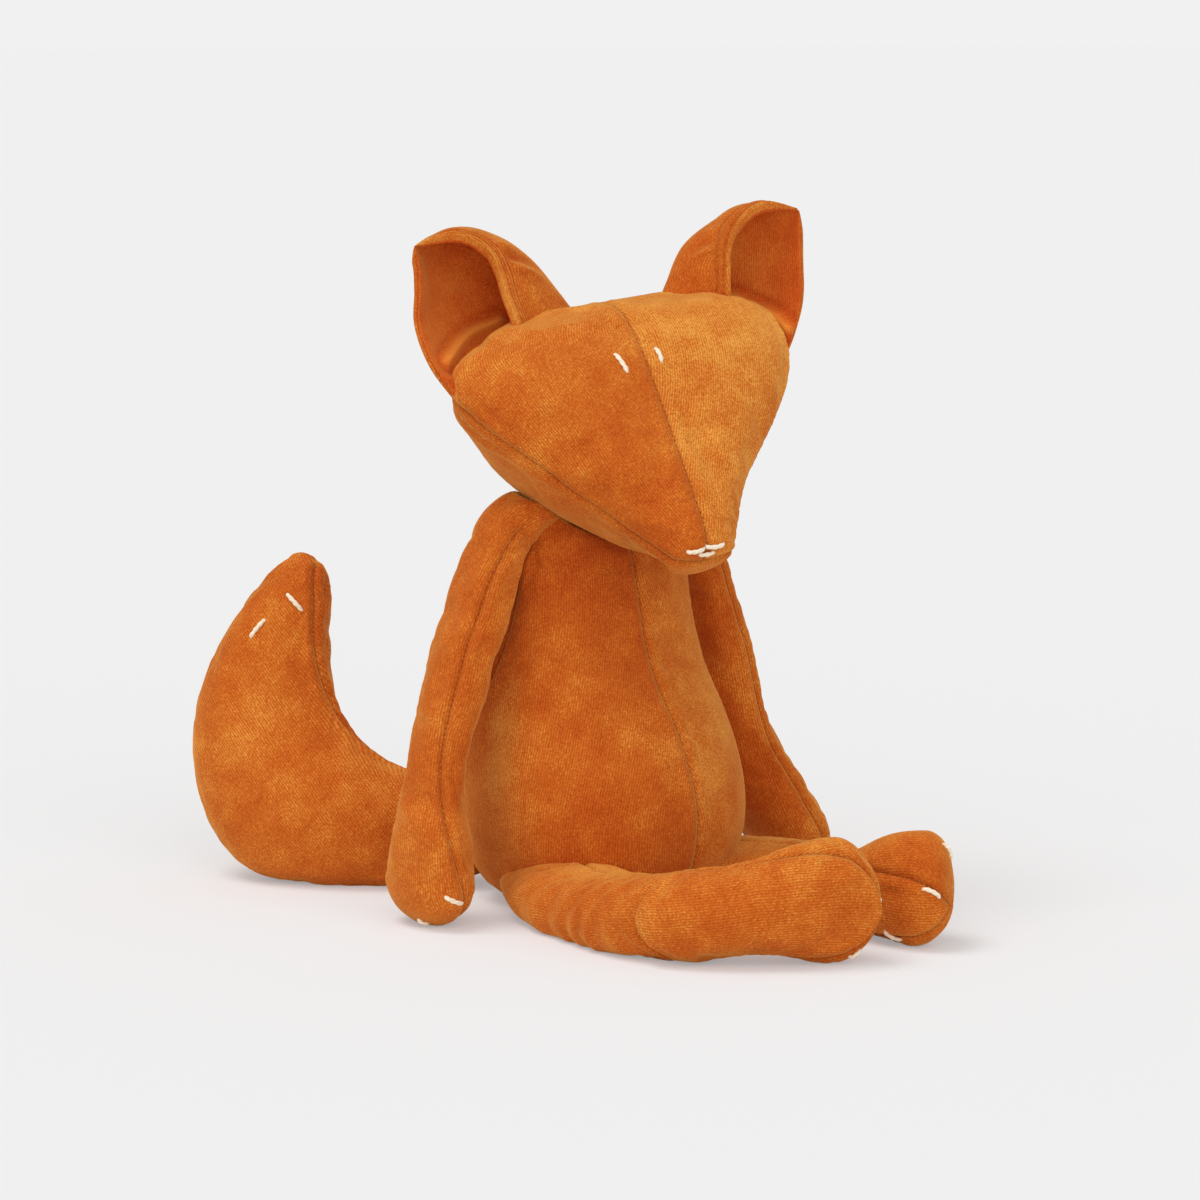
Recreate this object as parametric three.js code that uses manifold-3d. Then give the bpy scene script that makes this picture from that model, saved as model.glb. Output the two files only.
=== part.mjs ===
import * as THREE from 'three';
import { mergeVertices } from 'three/addons/utils/BufferGeometryUtils.js';
import Module from 'manifold-3d';

// A sitting plush fox sewn from cotton velour and filled with fibre.
// Millimetres, Z up. It faces -Y, its left side is at +X, and the origin is
// on the floor under the middle of its seat.

// Cloth, seams and filling
const clothThickness = 1.2;
const seamGap = 0.3;
const fillingGap = 0.4;
const jointGap = 0.5;
const flatDepth = 0.5;

// Torso
const torsoHeight = 152;
const torsoHalfWidth = 49;
const torsoHalfDepth = 46;

// Neck and head
const neckRadius = 13;
const neckHeight = 157;
const headLength = 112;
const headHalfWidth = 64;
const faceHeight = 20;
const skullDepth = 47;
const headPitch = 51;
const headRoll = -7;
const headTurn = -16.5;
const headTurnLimit = 20;
const headNodForward = 12;
const headNodBack = 10;

// Ears
const earHeight = 44;
const earHalfWidth = 26;
const earCupDepth = 13;

// Arms: the drop is from the shoulder to the floor
const armDrop = 146;
const armHalfWidth = 13;
const armHalfThickness = 10;
const shoulderSplay = 7;

// Legs: the reach is from the hip forwards
const legReach = 104;
const legHalfThickness = 14;
const hipRadius = 11;

// Tail: the reach is from its root back
const tailReach = 120;
const tailHalfThickness = 19.5;
const tailTurn = 36;
const tailLean = 15;
const tailRootRadius = 17.6;

// Embroidery
const yarnDiameter = 1.8;
const eyeStitchLength = 8.5;
const noseStitchLength = 8;
const toeStitchLength = 6.5;
const tailStitchLength = 8.5;

// Torso rows: height, half width, reach to the front and to the back, place of the side seam
const torsoShares = [
  [0, 0.7, 0.66, 0.68, 0.3],
  [0.05, 0.86, 0.88, 0.9, 0.42],
  [0.12, 0.93, 0.99, 1, 0.49],
  [0.2, 0.985, 1.05, 1.08, 0.46],
  [0.29, 1, 1.04, 1.07, 0.4],
  [0.375, 0.975, 0.93, 0.95, 0.34],
  [0.46, 0.92, 0.77, 0.82, 0.28],
  [0.54, 0.86, 0.57, 0.71, 0.2],
  [0.63, 0.8, 0.43, 0.62, 0.13],
  [0.735, 0.745, 0.35, 0.56, 0.08],
  [0.84, 0.715, 0.26, 0.5, 0.04],
  [0.92, 0.65, 0.17, 0.42, 0],
  [0.97, 0.52, 0.09, 0.34, 0],
  [1, 0.34, 0, 0.26, 0],
];
const seatSeamShare = -0.4;
const neckBackShare = 0.13;

// Head rows, from the crown seam to the nose: place, half width, face height, skull depth
const headShares = [
  [0, 0.44, 0, 0],
  [0.03, 0.63, 0.3, 0.4],
  [0.075, 0.82, 0.6, 0.67],
  [0.14, 0.955, 0.86, 0.79],
  [0.22, 1, 0.96, 0.86],
  [0.31, 0.98, 1, 0.94],
  [0.42, 0.885, 0.95, 1],
  [0.53, 0.74, 0.88, 0.96],
  [0.64, 0.57, 0.81, 0.84],
  [0.75, 0.41, 0.74, 0.68],
  [0.84, 0.315, 0.67, 0.5],
  [0.92, 0.25, 0.6, 0.36],
  [0.96, 0.21, 0.5, 0.28],
  [0.99, 0.13, 0.3, 0.16],
  [1, 0, 0, 0],
];
const crownBackShare = 0.075;
const crownHeightShare = 0.525;

// Ear rows: height, half width, cup depth and sideways lean
const earShares = [
  [-0.3, 1.02, 1, -0.04],
  [0, 1, 1, -0.04],
  [0.22, 1, 0.98, -0.06],
  [0.44, 0.95, 0.92, -0.06],
  [0.64, 0.84, 0.82, -0.02],
  [0.81, 0.69, 0.68, 0.05],
  [0.93, 0.5, 0.5, 0.1],
  [1, 0.36, 0.38, 0.13],
];
const earFold = 228;
const earPlaceShares = { right: [0.63, 0.09], left: [0.76, 0.11] };
const earDirectionShares = { right: [0.24, 0.9, 0.36], left: [0.52, 0.74, 0.42] };
const earSeamShares = [0.82, 0.57];

// Arm rows: outwards, forwards, upwards, then half width and half thickness
const rightArmShares = [
  [0, 0, 0, 0.82, 0.8],
  [0.045, -0.005, -0.02, 0.86, 0.86],
  [0.085, -0.008, -0.105, 0.92, 0.96],
  [0.128, 0, -0.225, 0.98, 1.04],
  [0.204, 0.012, -0.425, 1.04, 1.1],
  [0.254, 0.034, -0.64, 1.12, 1.16],
  [0.282, 0.041, -0.8, 1.36, 1.3],
  [0.292, 0.03, -1, 1.4, 1.34],
];
const leftArmShares = [
  [0, 0, 0, 0.82, 0.8],
  [0.05, -0.01, -0.02, 0.84, 0.84],
  [0.075, -0.04, -0.11, 0.85, 0.86],
  [0.095, -0.06, -0.225, 0.9, 0.92],
  [0.132, -0.05, -0.415, 0.96, 1],
  [0.195, 0.005, -0.645, 1.02, 1.08],
  [0.255, 0.055, -0.81, 1.26, 1.2],
  [0.3, 0.12, -1, 1.36, 1.28],
];
const shoulderHeightShare = 0.93;
const shoulderBackShare = 0.17;
const pawRoundShare = 0.11;

// Leg rows: outwards, forwards, lift off the floor, then half height and half thickness
const rightLegShares = [
  [-0.01, -0.106, 0, 1, 1.2],
  [0, 0, 0, 1, 1.25],
  [0.096, 0.154, 0, 1.05, 1.38],
  [0.183, 0.337, 0, 1.18, 1.36],
  [0.173, 0.558, 0, 1.32, 1.16],
  [0.038, 0.75, 0.01, 1.6, 1],
  [-0.173, 0.865, 0.005, 1.86, 0.94],
  [-0.356, 0.942, 0, 1.84, 1],
];
const leftLegShares = [
  [-0.01, -0.106, 0, 1, 1.2],
  [0, 0, 0, 1, 1.25],
  [0.048, 0.154, 0, 1.1, 1.18],
  [0.072, 0.327, 0, 1.14, 1.05],
  [0.048, 0.52, 0, 1.16, 1],
  [-0.02, 0.7, 0.01, 1.36, 1.04],
  [-0.062, 0.865, 0.005, 1.78, 1.12],
  [-0.06, 1.06, 0, 1.9, 1.24],
];
const hipOutShare = 0.67;
const hipForwardShare = 0.74;
const hipSocketShares = { right: 1.08, left: 1.18 };
const footRoundShare = 0.13;

// Tail rows in its own plane: inner edge back and up, outer edge back and up, thickness, bow
const tailShares = [
  [-0.132, -0.01, -0.132, -0.01, 0, 0],
  [-0.105, 0.065, -0.105, -0.085, 0.45, 0],
  [-0.055, 0.1, -0.055, -0.12, 0.7, 0],
  [0.01, 0.115, 0.01, -0.14, 0.78, 0],
  [0.16, 0.118, 0.17, -0.2, 0.8, 0.03],
  [0.32, 0.135, 0.36, -0.232, 0.92, 0.07],
  [0.43, 0.185, 0.59, -0.235, 1, 0.1],
  [0.505, 0.255, 0.8, -0.195, 1, 0.107],
  [0.55, 0.34, 0.945, -0.03, 0.97, 0.107],
  [0.575, 0.43, 1, 0.2, 0.92, 0.107],
  [0.59, 0.54, 0.965, 0.42, 0.82, 0.107],
  [0.6, 0.65, 0.87, 0.61, 0.66, 0.107],
  [0.617, 0.735, 0.79, 0.725, 0.42, 0.107],
  [0.655, 0.775, 0.735, 0.775, 0.2, 0.107],
  [0.7, 0.787, 0.7, 0.787, 0, 0.107],
];
const tailOutShare = 0.24;
const tailBackShare = 0.96;
const tailHeightShare = 0.2;
const tailSocketShare = 0.33;

// Embroidered stitches: place along the form, place round it, and slant from the lengthwise line
const headStitchShares = {
  head_right_eye_stitch: [0.374, 0.275, 0.03, eyeStitchLength],
  head_left_eye_stitch: [0.368, 0.236, 0.01, eyeStitchLength],
  head_nose_right_stitch: [0.892, 0.318, 0.25, noseStitchLength],
  head_nose_left_stitch: [0.893, 0.198, 0.25, noseStitchLength],
  head_nose_lower_stitch: [0.928, 0.256, 0.25, noseStitchLength],
};
const tailStitchShares = {
  tail_upper_stitch: [0.78, 0.32, 0.4, tailStitchLength],
  tail_lower_stitch: [0.745, 0.223, 0.08, tailStitchLength],
};
const pawStitchShares = {
  paw_front_stitch: [0.775, 0, 0.25, toeStitchLength],
  paw_end_stitch: [0.86, 0.2, 0.25, toeStitchLength],
  paw_back_stitch: [0.775, 0.5, 0.25, toeStitchLength],
};
const footStitchShares = {
  foot_upper_stitch: [0.84, 0, 0.25, toeStitchLength],
  foot_middle_stitch: [0.93, 0.25, 0, toeStitchLength],
  foot_lower_stitch: [0.86, 0.41, 0.25, toeStitchLength],
};

function add(...vectors) {
  return vectors.reduce((sum, each) => sum.add(each), new THREE.Vector3());
}

function times(vector, factor) {
  return vector.clone().multiplyScalar(factor);
}

function between(a, b, share) {
  return a.clone().lerp(b, share);
}

function radians(degrees) {
  return THREE.MathUtils.degToRad(degrees);
}

// A ring has a centre, two axes, its half width on one and its front and back sizes on the other
function ringPoint(ring, angle) {
  const toward = Math.sin(angle) * (Math.sin(angle) > 0 ? ring.front : ring.back);
  return add(
    ring.centre,
    times(ring.across, Math.cos(angle) * ring.halfWidth),
    times(ring.toward, toward),
  );
}

// The surface of a form: points on its rings, with the outward direction at each point
function formOf(rings, anglesOf) {
  const points = rings.map((ring) => anglesOf(ring).map((angle) => ringPoint(ring, angle)));
  const rows = points.length - 1;
  const columns = points[0].length;
  const slopes = points.map((row, i) => row.map((_, j) => {
    const along = points[Math.min(i + 1, rows)][j].clone().sub(points[Math.max(i - 1, 0)][j]);
    const around = row[(j + 1) % columns].clone().sub(row[(j + columns - 1) % columns]);
    return around.cross(along);
  }));
  const isClosed = rings.map((ring) => ring.front === 0);
  const directions = slopes.map((row, i) => row.map((direction) => {
    const beside = slopes[i === 0 ? 1 : i - 1];
    return (isClosed[i] ? add(...beside) : direction.clone()).normalize();
  }));
  return { points, directions, columns, isClosed };
}

function surfacePoint(form, i, j, inset) {
  const column = ((j % form.columns) + form.columns) % form.columns;
  const place = add(form.points[i][column], times(form.directions[i][column], -inset));
  place.z = Math.max(place.z, inset);
  return place;
}

// A place between four neighbouring points of a form, and the outward direction there
function surfaceAt(form, row, column) {
  const [i, j] = [Math.floor(row), Math.floor(column)];
  const blend = (grid) => {
    const at = (r, c) => grid[r][((c % form.columns) + form.columns) % form.columns];
    const pair = (r) => between(at(r, j), at(r, j + 1), column - j);
    return between(pair(i), pair(i + 1), row - i);
  };
  return { place: blend(form.points), out: blend(form.directions).normalize() };
}

function geometryFrom(triangles) {
  const kept = triangles.filter(([a, b, c]) => {
    const area = b.clone().sub(a).cross(c.clone().sub(a)).length() / 2;
    return area > 1e-6;
  });
  const geometry = new THREE.BufferGeometry();
  const places = kept.flat().flatMap((place) => place.toArray());
  geometry.setAttribute('position', new THREE.Float32BufferAttribute(places, 3));
  return mergeVertices(geometry, 1e-4);
}

function addQuad(triangles, a, b, c, d) {
  triangles.push([a, b, c], [a, c, d]);
}

// A thin sheet between two grids of points, closed along its four edges
function sheetGeometry(outer, inner) {
  const rows = outer.length - 1;
  const columns = outer[0].length - 1;
  const triangles = [];
  for (let i = 0; i < rows; i += 1) {
    for (let j = 0; j < columns; j += 1) {
      addQuad(triangles, outer[i][j], outer[i][j + 1], outer[i + 1][j + 1], outer[i + 1][j]);
      addQuad(triangles, inner[i][j], inner[i + 1][j], inner[i + 1][j + 1], inner[i][j + 1]);
    }
    addQuad(triangles, outer[i][0], outer[i + 1][0], inner[i + 1][0], inner[i][0]);
    addQuad(
      triangles,
      outer[i][columns],
      inner[i][columns],
      inner[i + 1][columns],
      outer[i + 1][columns],
    );
  }
  for (let j = 0; j < columns; j += 1) {
    addQuad(triangles, outer[0][j], inner[0][j], inner[0][j + 1], outer[0][j + 1]);
    addQuad(triangles, outer[rows][j], outer[rows][j + 1], inner[rows][j + 1], inner[rows][j]);
  }
  return geometryFrom(triangles);
}

// One cloth panel: the columns of a form between two seams, drawn in by half a gap at each
function panelGeometry(form, from, to) {
  const middle = Math.round((from + to) / 2);
  const grid = (inset) => form.points.map((_, i) => {
    const line = Array.from({ length: to - from + 1 }, (__, j) => (
      surfacePoint(form, i, from + j, inset)
    ));
    const last = line.length - 1;
    if (form.isClosed[i]) {
      const beside = surfacePoint(form, i === 0 ? 1 : i - 1, middle, inset);
      const shift = beside.sub(line[middle - from]).setLength(seamGap);
      return line.map((place) => add(place, shift));
    }
    const drawIn = (edge, next) => edge.add(next.clone().sub(edge).setLength(seamGap / 2));
    drawIn(line[0], line[1]);
    drawIn(line[last], line[last - 1]);
    return line;
  });
  return sheetGeometry(grid(0), grid(clothThickness));
}

// The whole of a form as one closed body, smaller than the form by an inset
function bodyGeometry(form, inset) {
  const grid = form.points.map((row, i) => row.map((_, j) => surfacePoint(form, i, j, inset)));
  const last = grid.length - 1;
  const triangles = [];
  for (let i = 0; i < last; i += 1) {
    for (let j = 0; j < form.columns; j += 1) {
      const k = (j + 1) % form.columns;
      addQuad(triangles, grid[i][j], grid[i][k], grid[i + 1][k], grid[i + 1][j]);
    }
  }
  const startMiddle = times(add(...grid[0]), 1 / form.columns);
  const endMiddle = times(add(...grid[last]), 1 / form.columns);
  for (let j = 0; j < form.columns; j += 1) {
    const k = (j + 1) % form.columns;
    triangles.push([startMiddle, grid[0][k], grid[0][j]], [endMiddle, grid[last][j], grid[last][k]]);
  }
  return geometryFrom(triangles);
}

const wasm = await Module();
wasm.setup();

function solidOf(geometry) {
  const joined = geometry.clone();
  joined.deleteAttribute('normal');
  joined.deleteAttribute('uv');
  const merged = mergeVertices(joined, 1e-4);
  return new wasm.Manifold(new wasm.Mesh({
    numProp: 3,
    vertProperties: new Float32Array(merged.attributes.position.array),
    triVerts: new Uint32Array(merged.index.array),
  }));
}

function without(geometry, cutters) {
  const mesh = cutters.reduce((left, cutter) => left.subtract(cutter), solidOf(geometry)).getMesh();
  const cut = new THREE.BufferGeometry();
  cut.setAttribute('position', new THREE.Float32BufferAttribute(mesh.vertProperties, 3));
  cut.setIndex(Array.from(mesh.triVerts));
  return cut;
}

const fox = new THREE.Group();
const cloth = { color: 0xc4621f, roughness: 0.9, metalness: 0 };
const lining = { color: 0xb4561c, roughness: 0.9, metalness: 0 };
const fibre = { color: 0xf2efe8, roughness: 1, metalness: 0 };
const yarn = { color: 0xf6e8cb, roughness: 0.85, metalness: 0 };

function addPiece(name, geometry, finish) {
  geometry.computeVertexNormals();
  const mesh = new THREE.Mesh(geometry, new THREE.MeshStandardMaterial(finish));
  mesh.name = name;
  fox.add(mesh);
}

const lengthwiseAxis = new THREE.Vector3(0, 1, 0);
const stitchSpan = 0.4;

// A stitch of thick yarn lying on a form
function addStitch(name, form, [rowShare, columnShare, turnShare, length]) {
  const row = rowShare * (form.points.length - 1);
  const column = columnShare * form.columns;
  const { place, out } = surfaceAt(form, row, column);
  const along = surfaceAt(form, row + stitchSpan, column).place
    .sub(surfaceAt(form, row - stitchSpan, column).place)
    .projectOnPlane(out)
    .applyAxisAngle(out, turnShare * Math.PI * 2)
    .normalize();
  const stitch = new THREE.CapsuleGeometry(yarnDiameter / 2, length - yarnDiameter, 2, 8);
  stitch.applyQuaternion(new THREE.Quaternion().setFromUnitVectors(lengthwiseAxis, along));
  const middle = add(place, times(out, yarnDiameter / 2 + seamGap));
  stitch.translate(middle.x, middle.y, middle.z);
  stitch.deleteAttribute('normal');
  stitch.deleteAttribute('uv');
  addPiece(name, mergeVertices(stitch, 1e-4), yarn);
}

const fillingInset = clothThickness + fillingGap;
const upwards = new THREE.Vector3(0, 0, 1);
const sides = { right: -1, left: 1 };

// Torso: rings stacked up Z, the seat flat on the floor
const torsoRows = torsoShares.map(([height, width, front, back, seam]) => ({
  centre: new THREE.Vector3(0, (torsoHalfDepth * (back - front)) / 2, height * torsoHeight),
  across: new THREE.Vector3(1, 0, 0),
  toward: new THREE.Vector3(0, 1, 0),
  halfWidth: torsoHalfWidth * width,
  front: (torsoHalfDepth * (back + front)) / 2,
  back: (torsoHalfDepth * (back + front)) / 2,
  seamAngle: (Math.PI / 2) * seam,
}));
const point = { halfWidth: 0, front: 0, back: 0 };
const torsoTop = torsoRows[torsoRows.length - 1];
const torsoForm = formOf(
  [
    { ...torsoRows[0], ...point, centre: new THREE.Vector3(0, torsoHalfDepth * seatSeamShare, 0) },
    ...torsoRows,
    { ...torsoTop, ...point },
  ],
  ({ seamAngle }) => {
    const spread = (start, end, count) => Array.from(
      { length: count },
      (_, j) => start + ((end - start) * j) / count,
    );
    return [
      ...spread(seamAngle, Math.PI - seamAngle, 6),
      ...spread(Math.PI - seamAngle, Math.PI * 1.5, 5),
      ...spread(Math.PI * 1.5, Math.PI * 2 + seamAngle, 5),
    ];
  },
);

// Neck: a firm round wad of filling between the torso and the head
const neck = new THREE.Vector3(0, torsoHalfDepth * neckBackShare, neckHeight);
function neckBall(gap) {
  const ball = new THREE.SphereGeometry(neckRadius + gap, 20, 12);
  ball.translate(neck.x, neck.y, neck.z);
  ball.deleteAttribute('normal');
  ball.deleteAttribute('uv');
  return mergeVertices(ball, 1e-4);
}

// Head: rings along the line from the crown seam to the nose
const headFrame = new THREE.Matrix4()
  .makeRotationZ(radians(headTurn))
  .multiply(new THREE.Matrix4().makeRotationY(radians(headRoll)))
  .multiply(new THREE.Matrix4().makeRotationX(radians(headPitch)));
const headAcross = new THREE.Vector3(1, 0, 0).applyMatrix4(headFrame);
const headAlong = new THREE.Vector3(0, -1, 0).applyMatrix4(headFrame);
const faceOut = new THREE.Vector3(0, 0, 1).applyMatrix4(headFrame);
const crown = new THREE.Vector3(
  0,
  headLength * crownBackShare,
  neckHeight + headLength * crownHeightShare,
);
const headForm = formOf(
  headShares.map(([place, width, face, skull]) => ({
    centre: add(crown, times(headAlong, place * headLength)),
    across: headAcross,
    toward: faceOut,
    halfWidth: headHalfWidth * width,
    front: faceHeight * face,
    back: skullDepth * skull,
  })),
  () => Array.from({ length: 16 }, (_, j) => (Math.PI / 8) * j),
);

// Ears: cupped sheets round an arc, from the outer edge round the back to the folded inner edge
function earGrid(name, inset) {
  const side = sides[name];
  const [rootOut, rootAlong] = earPlaceShares[name];
  const [out, back, up] = earDirectionShares[name];
  const [seamOut, seamAlong] = earSeamShares;
  const root = add(
    crown,
    times(headAlong, rootAlong * headLength),
    times(headAcross, side * rootOut * headHalfWidth),
  );
  const lengthwise = add(
    times(headAcross, side * out),
    times(headAlong, -back),
    times(faceOut, up),
  ).normalize();
  const seam = add(times(headAcross, side * seamOut), times(headAlong, seamAlong));
  const width = seam.addScaledVector(lengthwise, -seam.dot(lengthwise)).normalize();
  const depth = lengthwise.clone().cross(width).multiplyScalar(side);
  return earShares.map(([height, halfWidth, cup, lean]) => {
    const centre = add(
      root,
      times(lengthwise, height * earHeight),
      times(width, lean * earHalfWidth),
    );
    const line = Array.from({ length: 10 }, (_, j) => {
      const angle = radians((earFold * j) / 9);
      return add(
        centre,
        times(width, Math.cos(angle) * (earHalfWidth * halfWidth - inset)),
        times(depth, Math.sin(angle) * (earCupDepth * cup - inset)),
      );
    });
    return side < 0 ? line.reverse() : line;
  });
}

// A limb follows a curve through its rows. Its root is flat or round and its end is round.
function limbForm({ places, sizes, seamSide, rootRound, endRound, steps, columns }) {
  const path = new THREE.CatmullRomCurve3(places, false, 'catmullrom');
  const swell = new THREE.CatmullRomCurve3(sizes, false, 'catmullrom');
  const length = path.getLength();
  const bends = [0, 30, 60].map(radians);
  const root = rootRound > 0
    ? bends.map((angle) => [rootRound * (1 - Math.cos(angle)), Math.sin(angle)])
    : [];
  const run = length - endRound - rootRound;
  const middle = Array.from({ length: steps + 1 }, (_, i) => [rootRound + (run * i) / steps, 1]);
  const end = [...bends].reverse().map((angle) => [
    length - endRound * (1 - Math.cos(angle)),
    Math.sin(angle),
  ]);
  const rings = [...root, ...middle, ...end].map(([along, factor]) => {
    const t = path.getUtoTmapping(along / length);
    const tangent = path.getTangent(t);
    const [width, thickness] = swell.getPoint(t).toArray();
    const toward = tangent.clone().cross(seamSide).normalize();
    return {
      centre: path.getPoint(t),
      across: toward.clone().cross(tangent),
      toward,
      halfWidth: factor * width,
      front: factor * thickness,
      back: factor * thickness,
    };
  });
  return formOf(rings, () => Array.from({ length: columns }, (_, j) => (2 * Math.PI * j) / columns));
}

const shoulderHeight = torsoHeight * shoulderHeightShare;
const armRoot = armHalfWidth * rightArmShares[0][3];
const torsoRowBelow = torsoRows.findLast((row) => row.centre.z < shoulderHeight - armRoot);
const shoulderOut = torsoRowBelow.halfWidth + jointGap * 3;
const splay = radians(shoulderSplay);

function armForm(side) {
  const rows = side < 0 ? rightArmShares : leftArmShares;
  const shoulder = new THREE.Vector3(
    side * shoulderOut,
    torsoHalfDepth * shoulderBackShare,
    shoulderHeight,
  );
  const outward = new THREE.Vector3(side * Math.cos(splay), Math.sin(splay), 0);
  const forward = new THREE.Vector3(side * Math.sin(splay), -Math.cos(splay), 0);
  return limbForm({
    places: rows.map(([out, fore, rise]) => add(
      shoulder,
      times(outward, out * armDrop),
      times(forward, fore * armDrop),
      times(upwards, rise * shoulderHeight),
    )),
    sizes: rows.map(([, , , width, thickness]) => new THREE.Vector3(
      width * armHalfWidth,
      thickness * armHalfThickness,
      0,
    )),
    seamSide: forward,
    rootRound: 0,
    endRound: armDrop * pawRoundShare,
    steps: 8,
    columns: 10,
  });
}

const hip = new THREE.Vector3(
  torsoHalfWidth * hipOutShare,
  -torsoHalfDepth * hipForwardShare,
  hipRadius - flatDepth,
);

function legForm(side) {
  const rows = side < 0 ? rightLegShares : leftLegShares;
  return limbForm({
    places: rows.map(([out, fore, lift, height]) => new THREE.Vector3(
      side * (hip.x + out * legReach),
      hip.y - fore * legReach,
      height * hipRadius - flatDepth + lift * legReach,
    )),
    sizes: rows.map(([, , , height, thickness]) => new THREE.Vector3(
      height * hipRadius,
      thickness * legHalfThickness,
      0,
    )),
    seamSide: upwards,
    rootRound: hipRadius,
    endRound: legReach * footRoundShare,
    steps: 9,
    columns: 12,
  });
}

// Tail: rings that fan between an inner and an outer edge in a leaning plane
const tailRoot = new THREE.Vector3(
  -torsoHalfWidth * tailOutShare,
  torsoHalfDepth * tailBackShare,
  tailReach * tailHeightShare,
);
const tailFrame = new THREE.Matrix4()
  .makeRotationZ(radians(tailTurn))
  .multiply(new THREE.Matrix4().makeRotationY(radians(tailLean)));
const tailNear = new THREE.Vector3(-1, 0, 0).applyMatrix4(tailFrame);
const tailForm = formOf(
  tailShares.map(([innerBack, innerUp, outerBack, outerUp, thickness, bow]) => {
    const place = (back, rise) => new THREE.Vector3(-bow, back, rise)
      .multiplyScalar(tailReach)
      .applyMatrix4(tailFrame)
      .add(tailRoot);
    const inner = place(innerBack, innerUp);
    const outer = place(outerBack, outerUp);
    return {
      centre: between(inner, outer, 0.5),
      across: outer.clone().sub(inner).normalize(),
      toward: tailNear,
      halfWidth: inner.distanceTo(outer) / 2,
      front: thickness * tailHalfThickness,
      back: thickness * tailHalfThickness,
    };
  }),
  () => Array.from({ length: 12 }, (_, j) => (Math.PI / 6) * j),
);

// The room that the head takes as it turns and nods on the neck
const nodAxis = new THREE.Vector3(Math.cos(radians(headTurn)), Math.sin(radians(headTurn)), 0);
const headRoom = bodyGeometry(headForm, -jointGap);
const headPlaces = [-headTurnLimit, 0, headTurnLimit].flatMap((turn) => (
  [-headNodBack, headNodForward].map((nod) => {
    const moved = headRoom.clone();
    moved.translate(-neck.x, -neck.y, -neck.z);
    moved.applyMatrix4(new THREE.Matrix4().makeRotationAxis(nodAxis, radians(nod)));
    moved.rotateZ(radians(turn));
    moved.translate(neck.x, neck.y, neck.z);
    return solidOf(moved);
  })
));

// Sockets where the neck, the hips and the tail root nest in the body
const neckSocket = solidOf(neckBall(jointGap));
const hipSockets = Object.entries(sides).map(([name, side]) => {
  const width = legHalfThickness * rightLegShares[1][4] * 2 + jointGap * 2;
  const radius = hipRadius * hipSocketShares[name];
  const barrel = new THREE.CylinderGeometry(radius, radius, width, 16);
  barrel.rotateZ(Math.PI / 2);
  barrel.translate(side * hip.x, hip.y, hip.z);
  return solidOf(barrel);
});
const tailBarrel = new THREE.CylinderGeometry(
  tailRootRadius,
  tailRootRadius,
  tailReach * tailSocketShare,
  16,
);
tailBarrel.rotateX(Math.PI / 2);
tailBarrel.translate(tailRoot.x, tailRoot.y, tailRoot.z);
const torsoCutters = [...headPlaces, neckSocket, ...hipSockets, solidOf(tailBarrel)];

addPiece('torso_back_panel', without(panelGeometry(torsoForm, 0, 6), torsoCutters), cloth);
addPiece('torso_front_right_panel', without(panelGeometry(torsoForm, 6, 11), torsoCutters), cloth);
addPiece('torso_front_left_panel', without(panelGeometry(torsoForm, 11, 16), torsoCutters), cloth);
addPiece('torso_stuffing', without(bodyGeometry(torsoForm, fillingInset), torsoCutters), fibre);
addPiece('neck_stuffing', neckBall(0), fibre);
addPiece('head_left_face_panel', panelGeometry(headForm, 0, 4), cloth);
addPiece('head_right_face_panel', panelGeometry(headForm, 4, 8), cloth);
addPiece('head_back_panel', without(panelGeometry(headForm, 8, 16), [neckSocket]), cloth);
addPiece('head_stuffing', without(bodyGeometry(headForm, fillingInset), [neckSocket]), fibre);

const headSpace = solidOf(bodyGeometry(headForm, -seamGap));
const liningInset = clothThickness + seamGap;
for (const [name, side] of Object.entries(sides)) {
  const sheet = (inset) => without(
    sheetGeometry(earGrid(name, inset), earGrid(name, inset + clothThickness)),
    [headSpace],
  );
  addPiece(`ear_${name}_outer`, sheet(0), cloth);
  addPiece(`ear_${name}_lining`, sheet(liningInset), lining);
  const limbs = [
    [`arm_${name}`, armForm(side), pawStitchShares],
    [`leg_${name}`, legForm(side), footStitchShares],
  ];
  for (const [limb, form, stitches] of limbs) {
    const half = form.columns / 2;
    const outerStart = side < 0 ? 0 : half;
    addPiece(`${limb}_outer_panel`, panelGeometry(form, outerStart, outerStart + half), cloth);
    addPiece(`${limb}_inner_panel`, panelGeometry(form, half - outerStart, 2 * half - outerStart),
      cloth);
    addPiece(`${limb}_stuffing`, bodyGeometry(form, fillingInset), fibre);
    for (const [stitch, shares] of Object.entries(stitches)) {
      addStitch(`${limb}_${stitch}`, form, shares);
    }
  }
}
addPiece('tail_near_panel', panelGeometry(tailForm, 0, 6), cloth);
addPiece('tail_far_panel', panelGeometry(tailForm, 6, 12), cloth);
addPiece('tail_stuffing', bodyGeometry(tailForm, fillingInset), fibre);
for (const [name, shares] of Object.entries(tailStitchShares)) {
  addStitch(name, tailForm, shares);
}
for (const [name, shares] of Object.entries(headStitchShares)) {
  addStitch(name, headForm, shares);
}

export default fox;
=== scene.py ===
import bpy
import numpy as np
from mathutils import Matrix, Vector
from mathutils.bvhtree import BVHTree


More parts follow.
